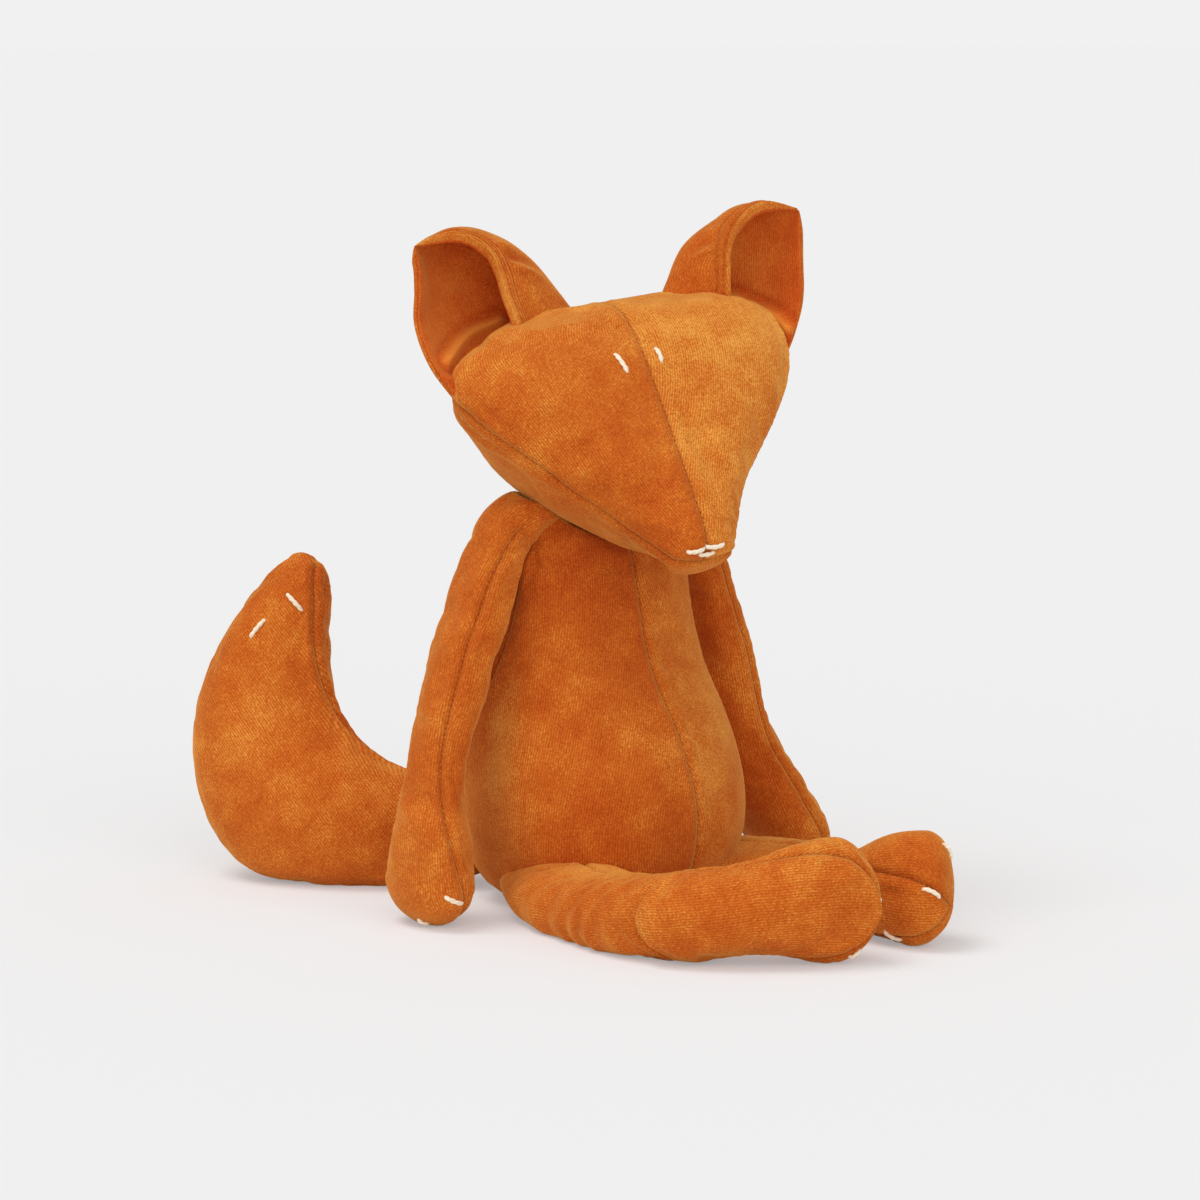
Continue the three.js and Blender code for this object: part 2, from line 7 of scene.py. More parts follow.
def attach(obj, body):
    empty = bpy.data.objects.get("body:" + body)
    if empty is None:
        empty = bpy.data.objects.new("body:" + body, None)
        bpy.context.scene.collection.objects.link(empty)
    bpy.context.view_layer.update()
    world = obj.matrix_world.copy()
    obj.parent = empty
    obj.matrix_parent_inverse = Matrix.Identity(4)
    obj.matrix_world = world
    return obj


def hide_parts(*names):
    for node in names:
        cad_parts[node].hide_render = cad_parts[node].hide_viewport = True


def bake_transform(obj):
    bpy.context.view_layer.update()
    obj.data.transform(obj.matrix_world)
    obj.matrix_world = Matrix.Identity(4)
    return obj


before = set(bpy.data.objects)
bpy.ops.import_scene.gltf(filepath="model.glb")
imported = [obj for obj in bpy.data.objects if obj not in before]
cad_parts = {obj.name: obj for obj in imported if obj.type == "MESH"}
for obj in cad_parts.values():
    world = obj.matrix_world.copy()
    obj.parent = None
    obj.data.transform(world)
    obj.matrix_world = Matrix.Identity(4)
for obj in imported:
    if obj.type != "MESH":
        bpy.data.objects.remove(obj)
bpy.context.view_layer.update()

# Camera
# A long lens at the fox's right front, a metre and a half away and a little above the floor.
camera_place = (-0.9482, -1.1237, 0.3161)
camera_round, camera_above = np.radians([-40, 8])
camera_back = np.array([np.sin(camera_round) * np.cos(camera_above),
                        -np.cos(camera_round) * np.cos(camera_above), np.sin(camera_above)])
camera_right = np.array([np.cos(camera_round), np.sin(camera_round), 0])
camera_up = np.cross(camera_back, camera_right)


def shown(name, data):
    """A new object of the scene that shows `data`."""
    thing = bpy.data.objects.new(name, data)
    bpy.context.scene.collection.objects.link(thing)
    return thing


camera_data = bpy.data.cameras.new("camera")
camera_data.sensor_width = 36
camera_data.lens = 123.3
camera_data.clip_end = 200
camera = shown("camera", camera_data)
turn = np.eye(4)
turn[:3, :3] = np.stack([camera_right, camera_up, camera_back], axis=1)
turn[:3, 3] = camera_place
camera.matrix_world = Matrix(turn.tolist())
bpy.context.scene.camera = camera

# Torso
# A pear-shaped bag of ribbed cotton velour: two front panels with a centre seam and one back
# panel, sewn inside out, turned and filled with loose fibre. The seat is pressed flat.
torso_height = 152
torso_half_width = 49
torso_half_depth = 46
# Least height of cloth above the floor, in mm, before and after its seams are drawn in
resting, settled = 0.15, 0.05
# height, half width, front and back reach as shares of the sizes; side seam in quarter turns
torso_rows = np.array([
    [0, 0.70, 0.66, 0.68, 0.30],
    [0.05, 0.86, 0.88, 0.90, 0.42],
    [0.12, 0.93, 0.99, 1.00, 0.49],
    [0.20, 0.985, 1.05, 1.08, 0.46],
    [0.29, 0.985, 1.03, 1.07, 0.40],
    [0.375, 0.955, 0.92, 0.95, 0.34],
    [0.46, 0.90, 0.76, 0.82, 0.29],
    [0.54, 0.845, 0.565, 0.71, 0.22],
    [0.63, 0.79, 0.43, 0.62, 0.155],
    [0.735, 0.745, 0.35, 0.56, 0.11],
    [0.84, 0.715, 0.26, 0.50, 0.07],
    [0.92, 0.65, 0.17, 0.42, 0.03],
    [0.97, 0.52, 0.09, 0.34, 0.00],
    [1.00, 0.34, 0.00, 0.26, 0.00]])


def smooth_through(knots, values, at):
    """Smooth curve through values at knots: on each stretch a cubic whose end slopes are the
    slopes of the chords round its ends, found for every place in `at` together."""
    knots, values, at = (np.asarray(x, float) for x in (knots, values, at))
    flat = values.reshape(len(knots), -1)
    slopes = np.gradient(flat, knots, axis=0)
    i = np.clip(np.searchsorted(knots, at, side="right") - 1, 0, len(knots) - 2)
    span = (knots[i + 1] - knots[i])[:, None]
    s = (at - knots[i])[:, None] / span
    found = ((1 + 2 * s) * (1 - s) ** 2 * flat[i] + s * (1 - s) ** 2 * span * slopes[i]
             + s ** 2 * (3 - 2 * s) * flat[i + 1] + s ** 2 * (s - 1) * span * slopes[i + 1])
    return found.reshape((len(at),) + values.shape[1:])


def panel_angles(seams, counts, gather=0.72):
    """Angles round a form, a row for each ring: from each seam to the next they run as
    t - gather * sin(2 pi t) / (2 pi), which crowds the columns beside the seams."""
    parts = []
    for k, count in enumerate(counts):
        t = np.arange(count) / count
        t = t - gather * np.sin(2 * np.pi * t) / (2 * np.pi)
        parts.append(seams[:, k, None] + (seams[:, k + 1] - seams[:, k])[:, None] * t)
    return np.concatenate(parts, axis=1)


def ring_grid(centre, across, toward, width, front, back, angles):
    """Point(row, angle) = centre + across * width * cos(angle) + toward * depth * sin(angle),
    where depth is front on the side of `toward` and back on the other."""
    sine = np.sin(angles)
    depth = np.where(sine > 0, front[:, None], back[:, None]) * sine
    return (centre[:, None] + across[:, None] * (width[:, None] * np.cos(angles))[..., None]
            + toward[:, None] * depth[..., None])


def ridge(distance, width):
    """A soft ridge across `distance`: exp(-(distance / width) ^ 2)."""
    return np.exp(-(distance / width) ** 2)


def gathered(grid, point, tall):
    """How far cloth stands out near a gathered corner at `point`: pleats that fan out from it as
    tall * cos(8 * angle round the corner), strongest 7 mm away and gone by 20 mm. At the corner
    itself the cloth is drawn in by 1.6 mm."""
    offset = grid - point
    far = np.linalg.norm(offset, axis=2)
    fan = np.arctan2(offset[..., 2], -offset[..., 1] + np.abs(offset[..., 0]))
    return tall * np.cos(8 * fan) * ridge(far - 7, 6) - 1.6 * ridge(far, 3)


def outward_grid(grid):
    """Outward direction at each place of a grid: the way round it crossed with the way along."""
    around = np.roll(grid, -1, axis=1) - np.roll(grid, 1, axis=1)
    out = np.cross(around, np.gradient(grid, axis=0))
    return out / (np.linalg.norm(out, axis=2, keepdims=True) + 1e-9)


def pushed_out(grid, amount):
    """The grid moved by `amount` mm along its outward direction."""
    return grid + outward_grid(grid) * amount[..., None]


def sewn_skin(name, grid, counts, nap_and_painted_light, grain=None, tuck=None, hidden=None):
    """Closed cloth skin from a grid in mm, rows along the form and columns round it, with a pole
    at each end. `counts` are the columns of each panel, and the nap values say how each panel's
    pile lies, with painted light and shade where they are raised or lowered in places. Every point
    keeps how far it is from the nearest seam, how far along the form, both in mm, and how its pile
    lies, with painted light added where the cloth faces up and towards the fox's left. `hidden` mm
    are added to the distance where a seam doesn't show, and `tuck` takes its place where a fold
    lies nearer. The UV runs across and along the cloth in mm, or along the two directions of
    `grain`."""
    rows, columns = grid.shape[:2]
    points = np.concatenate([grid.reshape(-1, 3), grid[0].mean(0)[None], grid[-1].mean(0)[None]])
    index = np.arange(rows * columns).reshape(rows, columns)
    after = np.roll(index, -1, axis=1)
    corners = lambda x, y: np.stack([x[:-1], y[:-1], y[1:], x[1:]], axis=-1)
    quads = corners(index, after).reshape(-1, 4)
    pole = np.full(columns, rows * columns)
    start = np.stack([pole, after[0], index[0]], axis=-1)
    end = np.stack([pole + 1, index[-1], after[-1]], axis=-1)
    mesh = bpy.data.meshes.new(name)
    mesh.from_pydata((points * 0.001).tolist(), [], quads.tolist() + start.tolist() + end.tolist())
    step = np.linalg.norm(np.roll(grid, -1, axis=1) - grid, axis=2)
    along = np.concatenate([np.zeros((1, columns)),
                            np.cumsum(np.linalg.norm(np.diff(grid, axis=0), axis=2), axis=0)])
    left, right, seam, pile = [], [], [], []
    first = 0
    for k, count in enumerate(counts):
        run = np.cumsum(step[:, first:first + count], axis=1)
        run = np.concatenate([np.zeros((rows, 1)), run], axis=1)
        centred = run - run[:, -1:] / 2
        left.append(centred[:, :-1])
        right.append(centred[:, 1:])
        seam.append(np.minimum(run[:, :-1], run[:, -1:] - run[:, :-1]))
        pile.append(np.ones((rows, count)) * nap_and_painted_light[k])
        first += count
    left, right, seam, pile = (np.concatenate(x, axis=1) for x in (left, right, seam, pile))
    # Painted light: the pile is made paler where the cloth faces up and towards the fox's left, as
    # if lit from there
    pile += 0.24 * np.clip(outward_grid(grid) @ [0.55, 0.1, 0.83], 0, 1) ** 1.5
    if hidden is not None:
        seam = seam + hidden
    if tuck is not None:
        seam = np.minimum(seam, tuck)
    after_along = np.roll(along, -1, axis=1)
    near, far = corners(left, right), corners(along, after_along)
    if grain is not None:
        near, far = (corners(x, np.roll(x, -1, axis=1)) for x in (grid @ grain[0], grid @ grain[1]))
    body = np.stack([near, far], axis=-1).reshape(-1, 2)
    tip = lambda i: np.stack([
        np.stack([np.zeros(columns), right[i], left[i]], -1),
        np.stack([along[i], after_along[i], along[i]], -1)], -1).reshape(-1, 2)
    last = tip(-1).reshape(-1, 3, 2)[:, [0, 2, 1]].reshape(-1, 2)
    layer = mesh.uv_layers.new(name="cloth")
    layer.data.foreach_set("uv", (np.concatenate([body, tip(0), last]) * 0.001).ravel())
    ends = lambda x: np.concatenate([x.ravel(), [x[0].mean(), x[-1].mean()]])
    for label, values in (("seam", ends(seam)), ("along", ends(along)), ("nap_and_painted_light", ends(pile))):
        mesh.attributes.new(label, "FLOAT", "POINT").data.foreach_set("value", values)
    mesh.polygons.foreach_set("use_smooth", np.ones(len(mesh.polygons), bool))
    return shown(name, mesh)


def read_off(items, key, width=3):
    """What is kept under `key` for each of some items of a mesh, as rows of `width` numbers."""
    flat = np.empty(len(items) * width)
    items.foreach_get(key, flat)
    return flat.reshape(-1, width)


def set_places(mesh, points):
    """Moves a mesh's points to rows of x, y and z in metres."""
    mesh.vertices.foreach_set("co", points.ravel())
    mesh.update()


def divide_once(piece):
    """Divides a piece once and applies that, so that its mesh is what shows."""
    division = piece.modifiers.new("division", "SUBSURF")
    division.levels = division.render_levels = 1
    graph = bpy.context.evaluated_depsgraph_get()
    done = bpy.data.meshes.new_from_object(
        piece.evaluated_get(graph), preserve_all_data_layers=True, depsgraph=graph)
    piece.modifiers.clear()
    piece.data = done


def finish_skin(piece, tuck=0.9, width=1.1):
    """Divides the cloth once, then draws its seams in by tuck * exp(-(distance / width) ^ 2) and
    lifts the cloth 3.2 mm beside them by 0.35 of that, all in mm."""
    divide_once(piece)
    mesh = piece.data
    seam = read_off(mesh.attributes["seam"].data, "value", 1)[:, 0]
    depth = -tuck * ridge(seam, width) + 0.35 * tuck * ridge(seam - 3.2, 1.8)
    outward = read_off(mesh.vertex_normals, "vector")
    points = read_off(mesh.vertices, "co") + outward * (depth * 0.001)[:, None]
    points[:, 2] = np.maximum(points[:, 2], settled * 0.001)
    set_places(mesh, points)


def filled(piece, cap=1.0, grow=0.03):
    """The filling presses the cloth out between its seams: Blender's cloth with pressure 4 and no
    gravity, cut larger by `grow`, steps 20 times. It is held within 1 mm of the seams and free
    from 4.3 mm on, and no point moves by more than `cap` mm."""
    mesh = piece.data
    before = read_off(mesh.vertices, "co")
    seam = read_off(mesh.attributes["seam"].data, "value", 1)[:, 0]
    hold = np.round(np.clip(1.3 - seam / 3.3, 0, 1), 1)
    held = piece.vertex_groups.new(name="held")
    for level in np.unique(hold):
        held.add(np.flatnonzero(hold == level).tolist(), float(level), "REPLACE")
    settings = piece.modifiers.new("filling", "CLOTH").settings
    settings.quality = 5
    settings.mass = 0.3
    settings.tension_stiffness = settings.compression_stiffness = 15
    settings.bending_stiffness = 0.15
    settings.vertex_group_mass = "held"
    settings.shrink_min = -grow
    settings.use_pressure = True
    settings.uniform_pressure_force = 4
    settings.effector_weights.gravity = 0
    for frame_number in range(1, 21):
        bpy.context.scene.frame_set(frame_number)
    graph = bpy.context.evaluated_depsgraph_get()
    after = read_off(piece.evaluated_get(graph).data.vertices, "co")
    piece.modifiers.clear()
    piece.vertex_groups.clear()
    bpy.context.scene.frame_set(1)
    moved = after - before
    far = np.linalg.norm(moved, axis=1) * 1000
    moved *= np.minimum(1, cap / np.maximum(far, 1e-6))[:, None]
    points = before + moved
    points[:, 2] = np.maximum(points[:, 2], resting * 0.001)
    set_places(mesh, points)


def linear(hex_colour):
    """sRGB hex to linear: below 0.04045 a twelfth-odd of the value, above it a power of 2.4."""
    s = np.array([int(hex_colour[i:i + 2], 16) for i in (0, 2, 4)]) / 255
    return tuple(np.where(s <= 0.04045, s / 12.92, ((s + 0.055) / 1.055) ** 2.4)) + (1.0,)


def empty_tree(owner):
    """The shader tree of a material or of the world, with nothing in it."""
    owner.use_nodes = True
    owner.node_tree.nodes.clear()
    return owner.node_tree


def add_node(tree, kind, settings=None, **links):
    """Adds a node, sets its properties, and gives each input, by name or as i and its number, a
    value or a link."""
    node = tree.nodes.new(kind)
    for key, value in (settings or {}).items():
        setattr(node, key, value)
    for key, value in links.items():
        numbered = key[0] == "i" and key[1:].isdigit()
        socket = node.inputs[int(key[1:]) if numbered else key.replace("_", " ")]
        if isinstance(value, bpy.types.NodeSocket):
            tree.links.new(value, socket)
        else:
            socket.default_value = value
    return node


def velour(name, lit, full, deep, sheen):
    """Cotton velour knit: a short brushed pile over fine ribs. The pile gives the eye soft patches
    where it lies one way or the other and a bright rim from its sheen; painted light and shade come
    in with each point's pile lie, and painted shade darkens the seams where the cloth is tucked in."""
    material = bpy.data.materials.new(name)
    tree = empty_tree(material)
    maths = lambda operation, a, b=0.0, c=0.0: add_node(
        tree, "ShaderNodeMath", {"operation": operation}, i0=a, i1=b, i2=c).outputs[0]
    place = add_node(tree, "ShaderNodeTexCoord").outputs["Object"]
    cloth = add_node(tree, "ShaderNodeUVMap", {"uv_map": "cloth"}).outputs[0]
    parts = add_node(tree, "ShaderNodeSeparateXYZ", i0=cloth)
    kept = lambda label: add_node(
        tree, "ShaderNodeAttribute", {"attribute_name": label}).outputs["Fac"]
    seam, along, nap_and_painted_light = kept("seam"), kept("along"), kept("nap_and_painted_light")
    noise = lambda size_mm, detail, rough: add_node(
        tree, "ShaderNodeTexNoise", Vector=place, Scale=1000 / size_mm, Detail=detail,
        Roughness=rough).outputs[0]
    patches = noise(30, 3, 0.5)
    mottle = noise(9, 2, 0.5)
    pile = noise(0.8, 3, 0.8)
    wobble = noise(9, 1, 0.5)
    # Ribs are 0.8 mm apart in the cloth and drawn 0.95 mm apart so that they show
    rib_turns = maths("MULTIPLY_ADD", parts.outputs[0], 1000 * 2 * np.pi / 0.95,
                      maths("MULTIPLY", wobble, 5))
    ribs = maths("SINE", rib_turns)
    # The pile's lie shifts the tone, in wide patches, small mottles, single tufts and ribs, and
    # each point's lie from its panel adds the painted light and shade it carries
    tone = maths("MULTIPLY_ADD", patches, 0.8, -0.4)
    tone = maths("MULTIPLY_ADD", mottle, 0.5, maths("ADD", tone, -0.25))
    tone = maths("MULTIPLY_ADD", pile, 1.7, maths("ADD", tone, -0.85))
    tone = maths("MULTIPLY_ADD", ribs, 0.12, maths("ADD", tone, nap_and_painted_light))
    blend = add_node(tree, "ShaderNodeValToRGB", i0=tone)
    ramp = blend.color_ramp
    ramp.elements[0].position, ramp.elements[0].color = 0.0, linear(deep)
    ramp.elements[1].position, ramp.elements[1].color = 1.0, linear(lit)
    ramp.elements.new(0.5).color = linear(full)
    near_seam = lambda width: maths("EXPONENT", maths("MULTIPLY", maths(
        "POWER", maths("MULTIPLY", seam, 1 / width), 2), -1))
    # Painted shade in the seam grooves: a lockstitch every 2 mm pulls the cloth down, and its small
    # dark dashes lie over a faint, wider painted shade along each seam
    stitch_length = 2
    dashes = maths("SINE", maths("MULTIPLY", along, 2 * np.pi / stitch_length))
    dashes = maths("MULTIPLY_ADD", dashes, 0.4, 0.6)
    tuck = maths("MULTIPLY", near_seam(0.38), dashes)
    shade = near_seam(2.2)
    painted_seam_shade = maths("MULTIPLY_ADD", tuck, 0.42, maths("MULTIPLY", shade, 0.08))
    colour = add_node(tree, "ShaderNodeMix", {"data_type": "RGBA", "blend_type": "MIX"},
                      i0=painted_seam_shade, i6=blend.outputs[0], i7=linear("702606")).outputs[2]
    height = maths("MULTIPLY", ribs, 0.028)
    height = maths("MULTIPLY_ADD", pile, 0.22, height)
    height = maths("MULTIPLY_ADD", noise(0.7, 1, 0.6), 0.12, height)
    height = maths("MULTIPLY_ADD", mottle, 0.25, height)
    height = maths("MULTIPLY_ADD", tuck, -0.35, height)
    relief = add_node(tree, "ShaderNodeBump", Strength=0.9, Distance=0.001, Height=height)
    surface = add_node(tree, "ShaderNodeBsdfPrincipled", Base_Color=colour, Roughness=0.92,
                       Normal=relief.outputs[0])
    surface.inputs["Specular IOR Level"].default_value = 0.15
    surface.inputs["Sheen Weight"].default_value = sheen
    surface.inputs["Sheen Roughness"].default_value = 0.35
    surface.inputs["Sheen Tint"].default_value = linear("ffbe62")
    add_node(tree, "ShaderNodeOutputMaterial", Surface=surface.outputs[0])
    return material


rust_velour = velour("rust_orange_cotton_velour", lit="eea94a", full="cd681d", deep="ae420e",
                     sheen=1.0)

# Between the rings that close the seat and the top, 104 rings run up the torso
seat_closing, top_closing = [0.02, 0.2, 0.4, 0.6, 0.78, 0.9, 0.97], [0.8, 0.5, 0.25, 0.05]
heights = np.concatenate([0 * np.array(seat_closing), np.linspace(0, 1, 104), np.ones(4)])
closing = np.concatenate([seat_closing, np.ones(104), top_closing])
row = smooth_through(torso_rows[:, 0], torso_rows[:, 1:], heights)
ones = np.ones(len(heights))
depth = torso_half_depth * (row[:, 1] + row[:, 2]) / 2
torso_centre = np.stack([0 * ones, torso_half_depth * (row[:, 2] - row[:, 1]) / 2,
                         heights * torso_height], axis=1)
side_seam = np.pi / 2 * row[:, 3]
seams = np.stack([side_seam, np.pi - side_seam, np.pi * 1.5 * ones, np.pi * 2 + side_seam], axis=1)
torso_counts = (36, 32, 32)
torso_angles = panel_angles(seams, torso_counts)
torso_grid = ring_grid(torso_centre, np.outer(ones, [1, 0, 0]), np.outer(ones, [0, 1, 0]),
                       torso_half_width * row[:, 0] * closing, depth * closing, depth * closing,
                       torso_angles)
# The back panel is cut full and squarer than the front, most of all behind the arms, and the
# belly is squarer beside the right arm, where the filling has settled
behind_arms = ridge(np.abs(torso_angles - np.pi / 2) - np.radians(52), np.radians(24))
behind_arms *= (0.27 * ridge(heights - 0.56, 0.30) + 0.09 * ridge(heights - 0.1, 0.1))[:, None]
beside_arm = (0.06 * ridge(torso_angles - np.radians(190), np.radians(15))
              * ridge(heights[:, None] - 0.34, 0.2))
torso_grid += (torso_grid - torso_centre[:, None]) * (behind_arms + beside_arm)[..., None]


def turned(about, angle):
    """Turn about an axis, 0 for x to 2 for z: cosine and sine of the angle on the two others."""
    turn = np.eye(3)
    first, second = (about + 1) % 3, (about + 2) % 3
    turn[first, first] = turn[second, second] = np.cos(angle)
    turn[first, second], turn[second, first] = -np.sin(angle), np.sin(angle)
    return turn


# Head frame: across to the fox's left, along from the crown to the nose, and out of the face
head_turn, head_roll, head_pitch = np.radians([-16.5, -7, 51])
head_frame = turned(2, head_turn) @ turned(1, head_roll) @ turned(0, head_pitch)
head_across, head_along, face_out = head_frame[:, 0], -head_frame[:, 1], head_frame[:, 2]
crown = np.array([0, 8.4, 215.8])
head_length, head_half_width, face_height, skull_depth = 111, 64, 20, 47
# place from crown to nose, half width, face height, skull depth; right jaw seam's drop, degrees
head_rows = np.array([
    [0, 0.44, 0.00, 0.00, 0],
    [0.03, 0.63, 0.30, 0.40, 0],
    [0.075, 0.82, 0.60, 0.67, 2],
    [0.14, 0.955, 0.86, 0.81, 4],
    [0.22, 1.00, 0.96, 0.91, 8],
    [0.31, 0.985, 1.00, 1.00, 1],
    [0.42, 0.90, 0.95, 1.06, -4],
    [0.53, 0.755, 0.88, 1.00, -4],
    [0.64, 0.58, 0.81, 0.86, 3],
    [0.75, 0.415, 0.74, 0.69, 6],
    [0.84, 0.315, 0.67, 0.47, 7],
    [0.92, 0.24, 0.60, 0.28, 0],
    [0.96, 0.20, 0.50, 0.20, -5],
    [0.99, 0.13, 0.30, 0.16, -8],
    [1.00, 0.00, 0.00, 0.00, 0]])


def head_reach(points, room):
    """How far inside the head points in mm lie: 1 on its skin grown by `room`, less inside."""
    offset = points - crown
    place = offset @ head_along / head_length
    t = np.clip(place, 0.0, 1)
    shape = smooth_through(head_rows[:, 0], head_rows[:, 1:4], t.ravel()).reshape(t.shape + (3,))
    x, y = offset @ head_across, offset @ face_out
    deep = np.where(y > 0, face_height * shape[..., 1], skull_depth * shape[..., 2])
    beyond = np.abs(place - t) * 10
    half_width = head_half_width * shape[..., 0] + room
    return np.sqrt((x / half_width) ** 2 + (y / (deep + room)) ** 2) + beyond


def press_under_head(grid, steps):
    """Moves what lies above 110 mm and in the head, or within 0.8 mm of it, down by 0.6 mm,
    `steps` times."""
    for _ in range(steps):
        under = (head_reach(grid, 0.8) < 1) & (grid[..., 2] > 110)
        grid[..., 2] -= np.where(under, 0.6, 0)


# The head rests on the shoulders, and the cloth under it is pressed down
press_under_head(torso_grid, 44)
# The arms' fronts are sewn in with small pleats at the armpits
for sign in (-1, 1):
    torso_grid = pushed_out(torso_grid, gathered(torso_grid, (sign * 34, 3, 132.5), 0.8))
# Painted shade darkens the pile under the chin. Beside the right arm the front panel is painted
# paler, painted light that lifts the arm's shadow, and the back panel is painted darker, painted
# shade in the crevice behind the arm.
nap_with_chin_shade = 0.36 - 0.17 * ridge(heights[:, None] - 0.86, 0.24)
back_angles, right_angles = torso_angles[:, :36], torso_angles[:, 36:68]
light_painted_beside_arm = (0.35 * ridge(right_angles - np.radians(177), np.radians(13))
         * ridge(heights[:, None] - 0.36, 0.25))
shade_painted_behind_arm = (0.34 * ridge(back_angles - np.radians(146), np.radians(15))
          * ridge(heights[:, None] - 0.5, 0.3))
torso = sewn_skin("torso", torso_grid, torso_counts, (nap_with_chin_shade - shade_painted_behind_arm, nap_with_chin_shade + light_painted_beside_arm, 0.46))
filled(torso, cap=0.7)
finish_skin(torso)
torso.data.materials.append(rust_velour)
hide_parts("torso_back_panel", "torso_front_right_panel", "torso_front_left_panel",
            "torso_stuffing")
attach(torso, "torso")

# Neck
# A firm round wad of loose filling in the mouth of the torso. The cloth round it holds it, and
# the head sits on it and hides it.
neck_centre = np.array([0, 5.98, 157.0])
neck_radius = 12.6
t = np.linspace(0.02, 0.98, 40)
ones = np.ones(len(t))
radius = neck_radius * np.sin(np.pi * t)
neck_grid = ring_grid(neck_centre + np.outer(-neck_radius * np.cos(np.pi * t), [0, 0, 1]),
                      np.outer(ones, [1, 0, 0]), np.outer(ones, [0, 1, 0]), radius, radius, radius,
                      panel_angles(np.outer(ones, [0, 2 * np.pi]), (36,)))
neck = sewn_skin("neck", neck_grid, (36,), (0.4,))
finish_skin(neck, tuck=0)
neck.data.materials.append(rust_velour)
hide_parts("neck_stuffing")
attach(neck, "neck")

# Head
# Two face panels with a centre seam from the crown to the nose, and one panel that makes the
# back and the jaw, sewn to them round the whole face. Firmly filled, softly hollow at the temples.
t = np.concatenate([[0.001, 0.006, 0.014], np.linspace(0.025, 0.95, 92),
                    [0.962, 0.973, 0.983, 0.990, 0.9955, 0.999]])
row = smooth_through(head_rows[:, 0], head_rows[:, 1:], t)
ones = np.ones(len(t))
drop = np.radians(row[:, 3])
seams = np.stack([0 * drop, np.pi / 2 * ones, np.pi + drop, 2 * np.pi + 0 * drop], axis=1)
head_counts = (32, 32, 56)
head_grid = ring_grid(crown + np.outer(t * head_length, head_along), np.outer(ones, head_across),
                      np.outer(ones, face_out), head_half_width * np.maximum(row[:, 0], 0.002),
                      face_height * np.maximum(row[:, 1], 0.02),
                      skull_depth * np.maximum(row[:, 2], 0.02), panel_angles(seams, head_counts))
# The face dips a little where the right ear is sewn on, and its pile is painted paler at the crown,
# a painted highlight where the light from above falls
from_ear = np.linalg.norm(head_grid - [-50, 22, 202], axis=2)
head_grid = pushed_out(head_grid, -3.4 * ridge(from_ear, 14))
right_nap_with_crown_light = 0.36 + 0.16 * ridge(t[:, None] - 0.03, 0.2)
head = sewn_skin("head", head_grid, head_counts, (0.60, right_nap_with_crown_light, 0.42))
filled(head, cap=0.8)
finish_skin(head)
head.data.materials.append(rust_velour)
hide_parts("head_left_face_panel", "head_right_face_panel", "head_back_panel",
            "head_stuffing")
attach(head, "head")

# Ears
# Each ear is two layers of velour sewn round the edge, turned and topstitched twice along the
# hem. The outer half curves back as a cup, and the inner half is folded forwards over it.
# Rails across, back and out of the head, in mm from the crown, from the root to the tip.
ear_rails = {
    "right": {
        "edge": [(-57, -38, -6), (-64, -26, -1), (-69, -15, 3.5), (-70, -1, 7),
                 (-66.2, 11, 9.5), (-64, 20.2, 12), (-64.2, 26.6, 14.4)],
        "fold": [(-4, -8, -10), (-10, 3, -6), (-13, 9, -4.5), (-20.5, 20.5, 0.5),
                 (-31, 29.5, 4.5), (-45, 33.2, 8), (-63.9, 26.9, 14.3)],
        "hem": [(-35, -18, -1), (-36.5, -5, 5), (-37.5, 4, 7.8), (-37.6, 12.5, 10),
                (-40, 20, 12.5), (-49, 25.5, 15), (-64.1, 26.8, 14.5)],
        "behind": (-0.17, 0.24, -0.96)},
    "left": {
        "edge": [(54, -40, -10), (65, -31, -3), (72, -20, 3), (75.5, -12, 6.5),
                 (77.6, -3, 10), (79.8, 6, 13.8), (81.6, 14.8, 18)],
        "fold": [(24, -12, -10), (29, -1, -4), (33, 4.5, -2), (41, 14, 3.5),
                 (53.4, 19.2, 8.2), (65, 21.6, 11.8), (81.3, 15.1, 17.9)],
        "hem": [(45, -24, -2), (47.5, -12, 6), (50, -2, 10), (52, 4.5, 12.5),
                (56.5, 10.5, 15), (67, 15.4, 18.8), (81.4, 15.0, 18.1)],
        "behind": (0.21, 0.29, -0.93)}}
# The roll where each cup is sewn to the head, from its inner to its outer end, in mm
ear_rolls = {"right": [(-27, 24.5, 213), (-42, 25.5, 207.5), (-60, 18, 198)],
             "left": [(55, -5, 218), (61, -16, 211.5), (61.5, -27, 206)]}
# Where the rails' places and the cup's depths in mm stand between root and tip
ear_knots = (-0.22, 0, 0.2, 0.42, 0.64, 0.84, 1)
cup_depths = (1, 5.5, 11.5, 12.5, 10, 6, 0.4)


